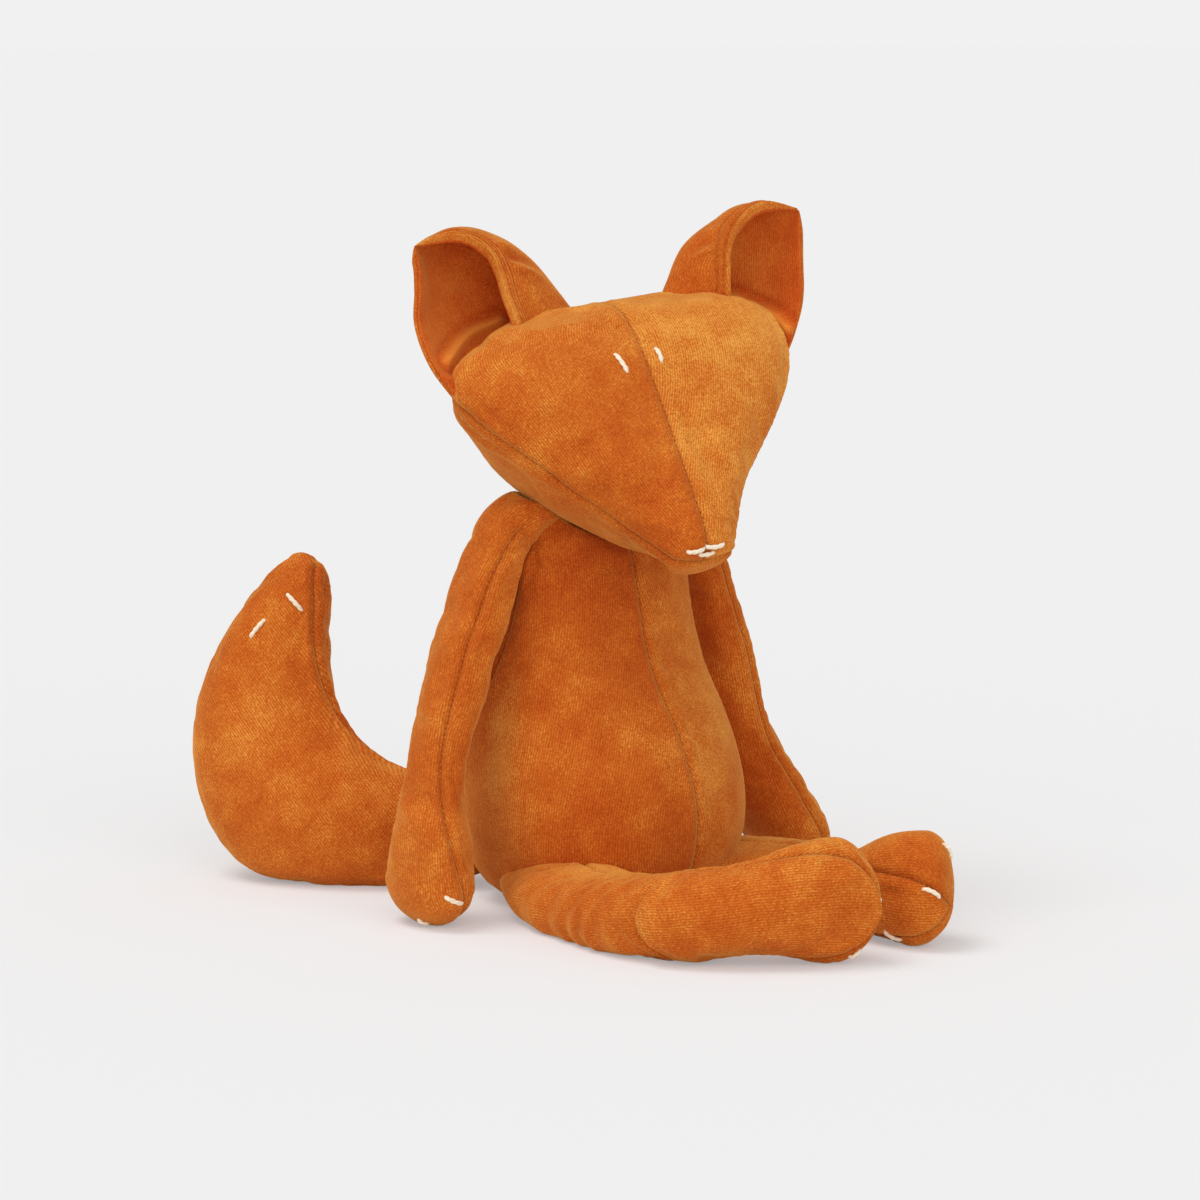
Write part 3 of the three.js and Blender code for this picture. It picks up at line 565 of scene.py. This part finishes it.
def cloth_sheet(name, grid, low, high, rim, nap_and_painted_light):
    """Double-skinned sheet on a grid in mm: the grid moved by low and by high along its normals,
    joined round its four edges. rim is how far each point lies from the stitched lines, and nap
    how its pile lies, with painted light and shade in places."""
    rows, columns = grid.shape[:2]
    normal = np.cross(np.gradient(grid, axis=1), np.gradient(grid, axis=0))
    normal /= np.linalg.norm(normal, axis=2, keepdims=True) + 1e-9
    top = grid + normal * high[..., None]
    under = grid + normal * low[..., None]
    points = np.concatenate([top.reshape(-1, 3), under.reshape(-1, 3)])
    index = np.arange(rows * columns).reshape(rows, columns)
    quads = np.stack([index[:-1, :-1], index[:-1, 1:], index[1:, 1:], index[1:, :-1]], -1)
    quads = quads.reshape(-1, 4)
    edge = np.concatenate([index[0, :-1], index[:-1, -1], index[-1, :0:-1], index[:0:-1, 0]])
    following = np.roll(edge, -1)
    n = rows * columns
    wall = np.stack([following, edge, edge + n, following + n], -1)
    mesh = bpy.data.meshes.new(name)
    faces = np.concatenate([quads, quads[:, ::-1] + n, wall])
    mesh.from_pydata((points * 0.001).tolist(), [], faces.tolist())
    across = np.cumsum(np.linalg.norm(np.diff(grid, axis=1), axis=2), 1)
    across = np.concatenate([np.zeros((rows, 1)), across], 1)
    along = np.cumsum(np.linalg.norm(np.diff(grid, axis=0), axis=2), 0)
    along = np.concatenate([np.zeros((1, columns)), along], 0)
    across = across - across[:, -1:]
    uv = np.stack([across, along], -1).reshape(-1, 2)
    uv = np.concatenate([uv, uv])[faces.ravel()]
    layer = mesh.uv_layers.new(name="cloth")
    layer.data.foreach_set("uv", (uv * 0.001).ravel())
    for label, values in (("seam", rim), ("along", along + across), ("nap_and_painted_light", nap_and_painted_light)):
        both = np.concatenate([values.ravel(), values.ravel()])
        mesh.attributes.new(label, "FLOAT", "POINT").data.foreach_set("value", both)
    mesh.polygons.foreach_set("use_smooth", np.ones(len(mesh.polygons), bool))
    piece = shown(name, mesh)
    divide_once(piece)
    return piece


lining_velour = velour("pressed_velour_ear_lining", lit="e88a34", full="d6611e", deep="b2420e",
                       sheen=0.7)
from_head = np.stack([head_across, -head_along, face_out])
for side, rails in ear_rails.items():
    sign = 1 if side == "left" else -1
    h = np.linspace(-0.22, 1, 70)
    edge, fold, hem = (smooth_through(ear_knots, rails[key], h) for key in ("edge", "fold", "hem"))
    cup = smooth_through(ear_knots, np.array(cup_depths)[:, None], h)[:, 0]
    behind = np.outer(cup, rails["behind"])
    sections = np.stack([edge, edge + (fold - edge) * 0.3 + behind * 0.8,
                         edge + (fold - edge) * 0.72 + behind, fold,
                         fold + (hem - fold) * 0.5 - behind * 0.25, hem])
    # The columns are crowded towards the hem
    a = np.linspace(1, 0, 90)
    a = 1 - 0.4 * a - 0.6 * a ** 2
    grid = smooth_through((0, 0.22, 0.5, 0.7, 0.86, 1), sections, a).transpose(1, 0, 2)
    grid = crown + grid @ from_head
    if sign > 0:
        grid = grid[:, ::-1]
    from_hem = np.cumsum(np.linalg.norm(np.diff(grid, axis=1), axis=2)[:, ::sign], axis=1)
    from_hem = np.concatenate([np.zeros((len(h), 1)), from_hem], axis=1)[:, ::sign]
    # The hem is two soft rolls with a line of stitches on the inner side of each
    lines = np.minimum(np.abs(from_hem - 2.4), np.abs(from_hem - 5.0)) + 0.1
    pinch = np.clip((1 - h[:, None]) / 0.12, 0.05, 1) ** 0.6
    roll = (ridge(from_hem - 1.0, 1.1) + 0.8 * ridge(from_hem - 3.7, 1.0)
            - 0.4 * ridge(from_hem - 5.0, 0.6)) * pinch
    # The folded flap is crumpled where it bends
    turn = a[None, ::-sign]
    flap = np.clip((turn - 0.76) / 0.1, 0, 1) * np.clip((from_hem - 5) / 3, 0, 1)
    crumple = flap * (1.5 * ridge(h[:, None] - 0.32 - 0.9 * (turn - 0.8), 0.035)
                      - 1.4 * ridge(h[:, None] - 0.42 - 0.9 * (turn - 0.8), 0.045)
                      + 1.3 * ridge(h[:, None] - 0.55 - 0.6 * (turn - 0.8), 0.04))
    # The cup is gathered in a low roll where it is sewn to the head
    roll_line = smooth_through((0, 0.5, 1), ear_rolls[side], np.linspace(0, 1, 50))
    back = np.array(rails["behind"]) @ from_head
    offset = grid[:, :, None] - roll_line
    from_roll = np.linalg.norm(offset - (offset @ back)[..., None] * back, axis=3).min(2)
    gathers = ((2.6 * ridge(from_roll, 1.8) - ridge(from_roll - 4.2, 1.6))
               * np.clip((0.72 - turn) / 0.1, 0, 1) * pinch)
    patches = 0.12 * np.sin(5 * turn + 4 * h[:, None]) * np.cos(7 * h[:, None] - 3 * turn)
    inside = np.clip(np.sin(np.pi * np.clip(turn / 0.7, 0, 1)), 0, 1)
    # Painted light and shade on the outer cloth: paler along the rolled hem and on the crumpled
    # ridges, darker in the dents between them
    outer = cloth_sheet(f"ear_{side}_outer", grid, (-2.8 - 1.1 * roll) * pinch - crumple,
                        (1.6 * roll - 1.1) * pinch, lines,
                        0.42 + 0.2 * ridge(from_hem - 0.5, 1.6) + 0.08 * crumple)
    # Painted light and shade on the lining: paler in the middle of the cup, less towards its edges
    # and none under the flap, and paler on the roll at the head with a dark line of painted shade
    # beside it; the patches are random tone
    lining = cloth_sheet(f"ear_{side}_lining", grid, -1.15 * pinch, 0.1 + gathers,
                         lines + 6 * (from_hem > 7),
                         0.40 + 0.26 * inside + 0.2 * gathers + patches)
    outer.data.materials.append(rust_velour)
    lining.data.materials.append(lining_velour)
    for piece, node, slot in ((outer, f"ear_{side}_outer", "velour"),
                              (lining, f"ear_{side}_lining", "ear_lining")):
        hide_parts(node)
        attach(piece, "head")

# Arms
# Long slack tubes of velour, sewn shut round the paw and into the top of the torso, with a seam
# down the front and the back. They hang from the shoulder and rest on the floor.
arm_drop, arm_half_width, arm_half_thickness, shoulder_height = 146, 13, 10, 141.4
# outwards and forwards in drops, upwards in shoulder heights, half width, half thickness
arm_rows = {
    "right": np.array([
        [-0.125, 0, 0.064, 0.70, 0.72],
        [-0.071, 0, 0.045, 0.76, 0.84],
        [-0.02, 0, 0.0205, 0.82, 0.93],
        [0.037, -0.005, -0.022, 0.86, 0.96],
        [0.079, -0.008, -0.105, 0.92, 0.98],
        [0.128, 0, -0.225, 0.98, 1.04],
        [0.207, 0.012, -0.425, 1.00, 1.05],
        [0.269, 0.034, -0.64, 0.95, 0.98],
        [0.286, 0.041, -0.80, 1.34, 1.29],
        [0.286, 0.030, -1.0, 1.48, 1.42]]),
    "left": np.array([
        [-0.125, 0, 0.064, 0.70, 0.72],
        [-0.071, 0, 0.045, 0.76, 0.82],
        [-0.02, 0, 0.02, 0.82, 0.88],
        [0.052, -0.005, -0.02, 0.84, 0.90],
        [0.10, -0.015, -0.11, 0.85, 0.90],
        [0.147, -0.02, -0.225, 0.90, 0.92],
        [0.197, -0.002, -0.415, 0.96, 1.00],
        [0.237, 0.035, -0.645, 1.02, 1.08],
        [0.29, 0.085, -0.81, 1.28, 1.22],
        [0.36, 0.155, -1.0, 1.40, 1.30]])}


def limb_grid(places, sizes, seam_side, root_round, end_round, rows, seam_turns, counts,
              end_shift=(0, 0, 0)):
    """Rings on a smooth path through places, as wide and thick as sizes say and skewed in their
    plane by the third size in degrees. The root and the end close as quarter circles: at x before
    the end a ring is sin(acos(1 - x / round)) as large, and as it shrinks its middle moves by
    end_shift. seam_turns move the two seams round the limb, in degrees, at places spaced evenly
    from the root to the end."""
    knots = np.concatenate([[0], np.cumsum(np.linalg.norm(np.diff(places, axis=0), axis=1))])
    length = knots[-1]
    turns = np.radians([4, 12, 22, 33, 45, 57, 69, 80])
    root = root_round * (1 - np.cos(turns)) if root_round else np.array([0.0])
    end = length - end_round * (1 - np.cos(turns[::-1]))
    at = np.concatenate([root, np.linspace(root[-1], end[0], rows + 2)[1:-1], end])
    opening = np.sin(turns) if root_round else np.array([1.0])
    scale = np.concatenate([opening, np.ones(rows), np.sin(turns[::-1])])
    centre = smooth_through(knots, places, at)
    last = len(turns)
    centre[-last:] += np.outer(1 - scale[-last:], end_shift)
    tangent = (smooth_through(knots, places, np.minimum(at + 0.5, length))
               - smooth_through(knots, places, np.maximum(at - 0.5, 0)))
    tangent /= np.linalg.norm(tangent, axis=1, keepdims=True)
    size = smooth_through(knots, sizes, at)
    skew = np.radians(size[:, 2:3])
    size = size * scale[:, None]
    toward = np.cross(tangent, seam_side)
    toward /= np.linalg.norm(toward, axis=1, keepdims=True)
    across = np.cross(toward, tangent)
    toward = toward * np.cos(skew) - tangent * np.sin(skew)
    evenly = np.linspace(0, length, len(seam_turns))
    shift = np.radians(smooth_through(evenly, np.array(seam_turns, float), at))
    seams = np.stack([shift[:, 0], np.pi + shift[:, 1], 2 * np.pi + shift[:, 0]], axis=1)
    angles = panel_angles(seams, counts)
    grid = ring_grid(centre, across, toward, size[:, 0], size[:, 1], size[:, 1], angles)
    return grid, at[:, None], angles


arm_seam_turns = {"right": [(-60, 0), (10, 8), (33, 14), (34, 14), (32, 12), (6, 4), (-40, 0)],
                  "left": [(0, 0), (-4, 0), (-6, 0), (-6, 0), (-4, 0), (0, 0), (0, 0)]}
arms = {}
for side, rows in arm_rows.items():
    sign = 1 if side == "left" else -1
    splay = np.radians(7)
    shoulder = np.array([sign * 35.2, 7.8, shoulder_height])
    outward = np.array([sign * np.cos(splay), np.sin(splay), 0])
    forward = np.array([sign * np.sin(splay), -np.cos(splay), 0])
    places = (shoulder + np.outer(rows[:, 0] * arm_drop, outward)
              + np.outer(rows[:, 1] * arm_drop, forward)
              + np.outer(rows[:, 2] * shoulder_height, [0, 0, 1]))
    sizes = np.column_stack([rows[:, 3] * arm_half_width, rows[:, 4] * arm_half_thickness,
                             0 * rows[:, 3]])
    grid, at, angles = limb_grid(places, sizes, forward, 0, 16, 96, arm_seam_turns[side], (32, 32))
    # Slack cloth: shallow dents where the arm bends and gathers above the paw
    slack = (-0.9 * ridge(at - 62, 5) * np.cos(angles - 1.2)
             - 0.7 * ridge(at - 88, 7) * np.cos(angles - 2.2)
             + 0.5 * ridge(at - 75, 6) * np.cos(angles - 1.6)
             - 0.6 * ridge(at - 128, 6) * np.cos(angles - 0.4))
    grid = pushed_out(grid, slack + gathered(grid, (sign * 40, -1, 134), 0.6))
    press_under_head(grid, 30)
    grid[..., 2] = np.maximum(grid[..., 2], resting)
    arm = sewn_skin(f"arm_{side}", grid, (32, 32), (0.40, 0.40),
                    hidden=12 * np.clip(1.6 - at / 16, 0, 1))
    filled(arm)
    finish_skin(arm)
    arm.data.materials.append(rust_velour)
    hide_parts(f"arm_{side}_outer_panel", f"arm_{side}_inner_panel", f"arm_{side}_stuffing")
    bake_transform(arm)
    arms[side] = arm

# Legs
# Two panels each, sewn along the top, the bottom and round the toes, wide where they join the
# torso and slackly filled, so that they lie on the floor as they fall. The right knee folds
# inwards.
# middle in mm, then half height, half width and skew of the ring, in mm and degrees
leg_rows = {
    "right": np.array([
        [-25, -7, 11, 7.5, 27, 34],
        [-31, -17, 11, 9.6, 29, 33],
        [-38.5, -32, 11, 11.2, 27, 26],
        [-44.5, -50, 11.2, 11.8, 21.5, 12],
        [-48.5, -68, 12.6, 13.2, 17.8, 4],
        [-49.5, -84, 13.8, 14.4, 16.2, 0],
        [-45, -99, 16.4, 15.2, 15.6, 0],
        [-34, -111, 18.8, 15.4, 14.3, 0],
        [-23.5, -119.5, 20.4, 18, 14, 0],
        [-14, -125.2, 21, 20.8, 13.8, 0],
        [4, -131.8, 20, 20.6, 14, 0]]),
    "left": np.array([
        [25, -7, 7.5, 8, 32, -32],
        [30, -17, 9.4, 10, 31, -31],
        [34.5, -33, 10.6, 11.2, 25, -22],
        [38, -50, 11.4, 12, 18.5, -8],
        [39.8, -68, 12, 12.5, 15.6, 0],
        [37.8, -88, 12.4, 12.8, 14.2, 0],
        [31, -106, 15.5, 15, 14.6, 0],
        [30, -122, 19.4, 18.6, 14.4, 0],
        [38.6, -139.4, 19.4, 20, 14.8, 0]])}
leg_seam_turns = {"right": [(0, 0), (0, 0), (0, 0), (6, -6), (56, -50)],
                  "left": [(0, 0), (4, 0), (14, -6), (54, -20), (82, -44)]}
# Where the two panels meet at the toe, in mm from the middle of the end
toe_shift = {"right": (-4.5, -10.5, -1), "left": (-4.6, -1.9, -3.6)}
legs = {}
for side, rows in leg_rows.items():
    sign = 1 if side == "left" else -1
    grid, at, angles = limb_grid(rows[:, :3], rows[:, 3:], np.array([0, 0, 1.0]), 6, 13.5, 104,
                                 leg_seam_turns[side], (36, 36), toe_shift[side])
    outside = np.clip(np.sin(angles) * -sign, 0, 1) ** 0.7
    knots = np.concatenate([[0], np.cumsum(np.linalg.norm(np.diff(rows[:, :3], axis=0), axis=1))])
    if side == "right":
        # The knee is folded: a tuck runs under it, and the slack thigh wrinkles finely towards it
        knee = knots[5]
        tuck = at - knee - 1.5 - 7 * np.cos(angles) ** 2
        below = np.clip(0.8 - 0.7 * np.cos(angles - 0.2), 0.2, 1)
        folds = outside * below * (-2.8 * ridge(tuck, 1.5) + 1.4 * ridge(tuck - 6, 4.5)
                                   - 0.8 * ridge(tuck + 4.5, 3))
        # How far above the tuck each wrinkle lies, its width and its height, in mm
        wrinkles = ((9, 1.5, 0.5), (14, 1.2, -0.5), (17.5, 1.4, 0.7), (22, 1.2, -0.5),
                    (26, 1.6, 0.7), (30.5, 1.2, -0.6), (34, 1.4, 0.6), (39, 1.6, -0.5),
                    (44, 1.8, 0.6), (51, 2.6, -0.5))
        for back, width, tall in wrinkles:
            bow = 7 * np.cos(angles - 0.4) + 1.2 * np.sin(at / 5 + 2 * angles)
            folds = folds + outside ** 2 * tall * ridge(tuck + back - bow, width)
        extra = np.abs(tuck) + 0.7 * (1 - below) + 6 * (1 - outside) ** 2
        # The filling settles at the floor, so the thigh is fullest low down
        settling = 2.2 * ridge(angles - 2.3, 0.5) * np.clip((at - 12) / 15, 0, 1)
        folds = folds + settling * np.clip((knee - at) / 15, 0, 1)
    else:
        folds = outside * (0.6 * ridge(at - 62, 2.5) - 0.6 * ridge(at - 68, 2.5)
                           + 0.5 * ridge(at - 75, 2.5))
        extra = None
    grid = pushed_out(grid, folds)
    if side == "left":
        # The foot leans outwards as it lies
        grid[..., 0] += 0.11 * (grid[..., 2] - 20) * np.clip((at - knots[-1] + 40) / 30, 0, 1)
    grid[..., 2] = np.maximum(grid[..., 2], resting)
    leg = sewn_skin(f"leg_{side}", grid, (36, 36), (0.42, 0.42), tuck=extra)
    filled(leg)
    finish_skin(leg)
    leg.data.materials.append(rust_velour)
    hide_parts(f"leg_{side}_outer_panel", f"leg_{side}_inner_panel", f"leg_{side}_stuffing")
    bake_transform(leg)
    legs[side] = leg

# Tail
# Two crescent panels sewn edge to edge and filled, sewn to the back of the torso. It lies on
# the floor, curls up at the end, and leans towards the fox's right.
tail_reach, tail_half_thickness = 120, 19.5
# inner edge back and up, outer edge back and up, thickness, bow, all as shares of the reach
tail_rows = np.array([
    [-0.105, 0.065, -0.105, -0.085, 0.45, 0],
    [-0.055, 0.100, -0.055, -0.120, 0.70, 0],
    [0.010, 0.115, 0.010, -0.140, 0.78, 0],
    [0.160, 0.118, 0.170, -0.200, 0.82, 0.03],
    [0.320, 0.135, 0.360, -0.232, 0.93, 0.07],
    [0.430, 0.185, 0.590, -0.235, 1.00, 0.10],
    [0.505, 0.255, 0.800, -0.195, 1.00, 0.107],
    [0.550, 0.340, 0.945, -0.030, 0.97, 0.107],
    [0.575, 0.430, 1.000, 0.200, 0.92, 0.107],
    [0.590, 0.540, 0.965, 0.420, 0.82, 0.107],
    [0.600, 0.650, 0.870, 0.610, 0.66, 0.107],
    [0.617, 0.735, 0.790, 0.725, 0.42, 0.107],
    [0.655, 0.775, 0.735, 0.775, 0.20, 0.107]])
tail_turn, tail_lean = np.radians([36, 15])
tail_root = np.array([-11.76, 44.16, 24])
tail_frame = turned(2, tail_turn) @ turned(1, tail_lean)
knots = np.linspace(0, 1, len(tail_rows))
# Root and tip close as quarter circles, through rings at these angles
ends = np.radians([5, 20, 38, 56, 74])
t = np.concatenate([0.04 * (1 - np.cos(ends)), np.linspace(0.04, 1.0, 96)[1:-1], 1 + 0 * ends])
closing = np.concatenate([np.sin(ends), np.ones(94), np.sin(ends[::-1])])
row = smooth_through(knots, tail_rows, t)
tip_out = np.concatenate([np.zeros(99), 1.9 * np.cos(ends[::-1])])
place = lambda back, up, bow: (
    tail_root + tail_reach * np.stack([-bow, back, up], axis=1) @ tail_frame.T)
inner, outer = place(row[:, 0], row[:, 1], row[:, 5]), place(row[:, 2], row[:, 3], row[:, 5])
inner += np.outer(tip_out, tail_frame[:, 2])
outer += np.outer(tip_out, tail_frame[:, 2])
wide = np.linalg.norm(outer - inner, axis=1)
ones = np.ones(len(t))
# The far seam turns inwards towards the tip, by these degrees at these places
seam_in = np.radians(smooth_through((0, 0.4, 0.62, 0.8, 0.95, 1),
                                    np.array([0, 0, 20, 34, 30, 0.0])[:, None], t)[:, 0])
seams = np.stack([0 * ones, np.pi - seam_in, 2 * np.pi * ones], axis=1)
thickness = row[:, 4] * tail_half_thickness * closing
tail_grid = ring_grid((inner + outer) / 2, (outer - inner) / wide[:, None],
                      np.outer(ones, -tail_frame[:, 0]), wide / 2 * closing, thickness, thickness,
                      panel_angles(seams, (44, 44)))
tail_grid[..., 2] = np.maximum(tail_grid[..., 2], resting)
tail = sewn_skin("tail", tail_grid, (44, 44), (0.43, 0.43),
                 grain=(tail_frame @ [0, 0.77, -0.64], tail_frame @ [0, 0.64, 0.77]))
filled(tail)
finish_skin(tail)
tail.data.materials.append(rust_velour)
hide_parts("tail_near_panel", "tail_far_panel", "tail_stuffing")
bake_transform(tail)

# Embroidered stitches
# Single long stitches of soft two-ply cream yarn, drawn through the cloth: the eyes, the nose,
# the toes of paws and feet, and two on the tail. Both ends sink into the pile.
yarn_radius = 0.74
# body and its cloth, then start and end of each stitch in mm
stitches = (
    ("head", head, {
        "right_eye": ((-19.1, -24.2, 200.6), (-17.7, -29.5, 194.5)),
        "left_eye": ((-4.4, -29.1, 202.4), (-4.4, -32.6, 197.9)),
        "nose_right": ((-19.1, -63.3, 134.6), (-13.0, -66.0, 135.7)),
        "nose_left": ((-12.2, -66.2, 136.1), (-6.0, -67.9, 136.9)),
        "nose_lower": ((-14.4, -64.8, 132.9), (-8.9, -66.3, 133.4))}),
    ("tail", tail, {
        "upper": ((-64.3, 110.7, 105.6), (-61.3, 105.4, 99.7)),
        "lower": ((-72.4, 113.8, 96.6), (-77.0, 116.4, 89.8))}),
    ("arm_right", arms["right"], {
        "paw_front": ((-83.8, -9.2, 13.3), (-77.6, -9.4, 10.4)),
        "paw_end": ((-85.5, 4.0, 3.4), (-82.6, 2.0, 1.4)),
        "paw_back": ((-78.0, 20.0, 12.0), (-72.0, 20.0, 12.0))}),
    ("arm_left", arms["left"], {
        "paw_front": ((78.0, -26.0, 9.0), (84.0, -26.0, 10.0)),
        "paw_end": ((86.0, -14.0, 3.0), (91.0, -12.0, 5.5)),
        "paw_back": ((80.0, 4.0, 6.0), (86.0, 3.0, 7.0))}),
    ("leg_left", legs["left"], {
        "foot_upper": ((36.5, -137.0, 38.0), (42.0, -141.0, 32.5)),
        "foot_middle": ((21.7, -139.6, 23.5), (27.3, -140.4, 18.3)),
        "foot_lower": ((18.0, -124.0, 5.2), (22.5, -127.5, 2.2))}),
    ("leg_right", legs["right"], {
        "foot_upper": ((-2.5, -127.5, 39.5), (2.0, -128.5, 37.0)),
        "foot_middle": ((-0.5, -139.0, 22.5), (2.5, -139.0, 19.0)),
        "foot_lower": ((-5.5, -136.5, 5.6), (-8.6, -135.0, 2.8))}))
# Soft cotton yarn: cream, a little mottled, with a fine fuzz
cotton_yarn = bpy.data.materials.new("cream_cotton_embroidery_yarn")
tree = empty_tree(cotton_yarn)
where = add_node(tree, "ShaderNodeTexCoord").outputs["Object"]
fuzz = add_node(tree, "ShaderNodeTexNoise", Vector=where, Scale=1600, Detail=2,
                Roughness=0.6).outputs[0]
tint = add_node(tree, "ShaderNodeMix", {"data_type": "RGBA"}, i0=fuzz, i6=linear("f3dfb8"),
                i7=linear("fff6e2")).outputs[2]
bump = add_node(tree, "ShaderNodeBump", Strength=0.6, Distance=0.0004, Height=fuzz)
shiny = add_node(tree, "ShaderNodeBsdfPrincipled", Base_Color=tint, Roughness=0.8,
                 Normal=bump.outputs[0])
shiny.inputs["Sheen Weight"].default_value = 0.3
add_node(tree, "ShaderNodeOutputMaterial", Surface=shiny.outputs[0])


def yarn_stitch(name, cloth, start, end):
    """Two-ply yarn pulled straight over the cloth: at t along the stitch the middle line stands off
    the chord by the cloth's own rise and radius * (1.3 sin(pi t) ^ 0.4 - 0.5), and the section, of
    radius 1 + 0.13 cos(2 angle - twist t), is a little flattened against the cloth."""
    corners = np.empty(len(cloth.data.loops), np.int32)
    cloth.data.loops.foreach_get("vertex_index", corners)
    tree = BVHTree.FromPolygons(read_off(cloth.data.vertices, "co").tolist(),
                                corners.reshape(-1, 4).tolist())
    t = np.linspace(0, 1, 26)
    line = np.outer(1 - t, start) + np.outer(t, end)
    found = [tree.find_nearest(Vector(p * 0.001)) for p in line]
    ground = np.array([f[0] for f in found]) * 1000
    out = np.array([f[1] for f in found])
    out = np.tile(out.mean(0) / np.linalg.norm(out.mean(0)), (len(t), 1))
    chord = np.outer(1 - t, ground[0]) + np.outer(t, ground[-1])
    rise = max(0.0, ((ground - chord) * out).sum(1).max())
    middle = chord + out * (rise * np.sin(np.pi * t) ** 0.5
                            + yarn_radius * (1.3 * np.sin(np.pi * t) ** 0.4 - 0.5))[:, None]
    tangent = np.gradient(middle, axis=0)
    tangent /= np.linalg.norm(tangent, axis=1, keepdims=True)
    beside = np.cross(tangent, out)
    beside /= np.linalg.norm(beside, axis=1, keepdims=True)
    out = np.cross(beside, tangent)
    angle = np.linspace(0, 2 * np.pi, 21)[:-1]
    twist = 2 * np.pi * t[:, None] * np.linalg.norm(line[-1] - line[0]) / 2.4
    radius = yarn_radius * (1 + 0.13 * np.cos(2 * angle - twist))
    radius = radius * (1 - 0.35 * np.abs(2 * t - 1) ** 6)[:, None]
    grid = (middle[:, None] + beside[:, None] * (radius * np.cos(angle) * 1.1)[..., None]
            + out[:, None] * (radius * np.sin(angle) * 0.9)[..., None])
    rows, columns = grid.shape[:2]
    index = np.arange(rows * columns).reshape(rows, columns)
    after = np.roll(index, -1, axis=1)
    quads = np.stack([index[:-1], index[1:], after[1:], after[:-1]], -1).reshape(-1, 4)
    points = np.concatenate([grid.reshape(-1, 3), middle[:1], middle[-1:]])
    pole = np.full(columns, rows * columns)
    caps = np.concatenate([np.stack([pole, index[0], after[0]], -1),
                           np.stack([pole + 1, after[-1], index[-1]], -1)])
    mesh = bpy.data.meshes.new(name)
    mesh.from_pydata((points * 0.001).tolist(), [], quads.tolist() + caps.tolist())
    mesh.polygons.foreach_set("use_smooth", np.ones(len(mesh.polygons), bool))
    return shown(name, mesh)


for body, cloth, places in stitches:
    for own_name, (start, end) in places.items():
        name = f"{body}_{own_name}_stitch"
        piece = yarn_stitch(name, cloth, start, end)
        piece.data.materials.append(cotton_yarn)
        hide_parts(name)
        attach(piece, body)

# Floor and light
# A pale seamless floor under three very broad soft lights, one of them overhead, and an even
# surround.
floor_mesh = bpy.data.meshes.new("floor")
floor_mesh.from_pydata([(-40, -40, 0), (40, -40, 0), (40, 40, 0), (-40, 40, 0)], [], [(0, 1, 2, 3)])
floor = shown("floor", floor_mesh)
paper = bpy.data.materials.new("pale_matte_paper_floor")
tree = empty_tree(paper)
ray = add_node(tree, "ShaderNodeLightPath")
seen_ray = add_node(tree, "ShaderNodeMath", {"operation": "MULTIPLY"},
                    i0=ray.outputs["Is Camera Ray"], i1=0.35)
matte = add_node(tree, "ShaderNodeBsdfDiffuse", Color=linear("f1f1f1"))
pale = add_node(tree, "ShaderNodeEmission", Color=linear("f1f1f1"), Strength=1.0)
lifted = add_node(tree, "ShaderNodeMixShader", i0=seen_ray.outputs[0],
                  i1=matte.outputs[0], i2=pale.outputs[0])
add_node(tree, "ShaderNodeOutputMaterial", Surface=lifted.outputs[0])
floor.data.materials.append(paper)

# name, direction towards the light, strength and angular size in radians
soft_lights = (("soft_left_light", (-0.85, -0.5, 0.7), 0.62, 1.1),
               ("soft_front_light", (-0.25, -1, 0.45), 0.62, 1.1),
               ("soft_top_light", (-0.3, 0.2, 0.93), 1.15, 0.5))
for name, direction, strength, spread in soft_lights:
    lamp = bpy.data.lights.new(name, "SUN")
    lamp.energy = strength
    lamp.angle = spread
    light = shown(name, lamp)
    light.rotation_euler = Vector(direction).to_track_quat("Z", "Y").to_euler()

world = bpy.data.worlds.new("surround")
bpy.context.scene.world = world
tree = empty_tree(world)
even = add_node(tree, "ShaderNodeBackground", Color=(1, 1, 1, 1), Strength=0.45)
seen = add_node(tree, "ShaderNodeBackground", Color=linear("f1f1f1"), Strength=1.0)
ray = add_node(tree, "ShaderNodeLightPath")
seen_ray = add_node(tree, "ShaderNodeMath", {"operation": "MAXIMUM"},
                    i0=ray.outputs["Is Camera Ray"], i1=ray.outputs["Is Glossy Ray"])
pick = add_node(tree, "ShaderNodeMixShader", i0=seen_ray.outputs[0],
                i1=even.outputs[0], i2=seen.outputs[0])
add_node(tree, "ShaderNodeOutputWorld", Surface=pick.outputs[0])

bpy.context.scene.view_settings.view_transform = "Standard"
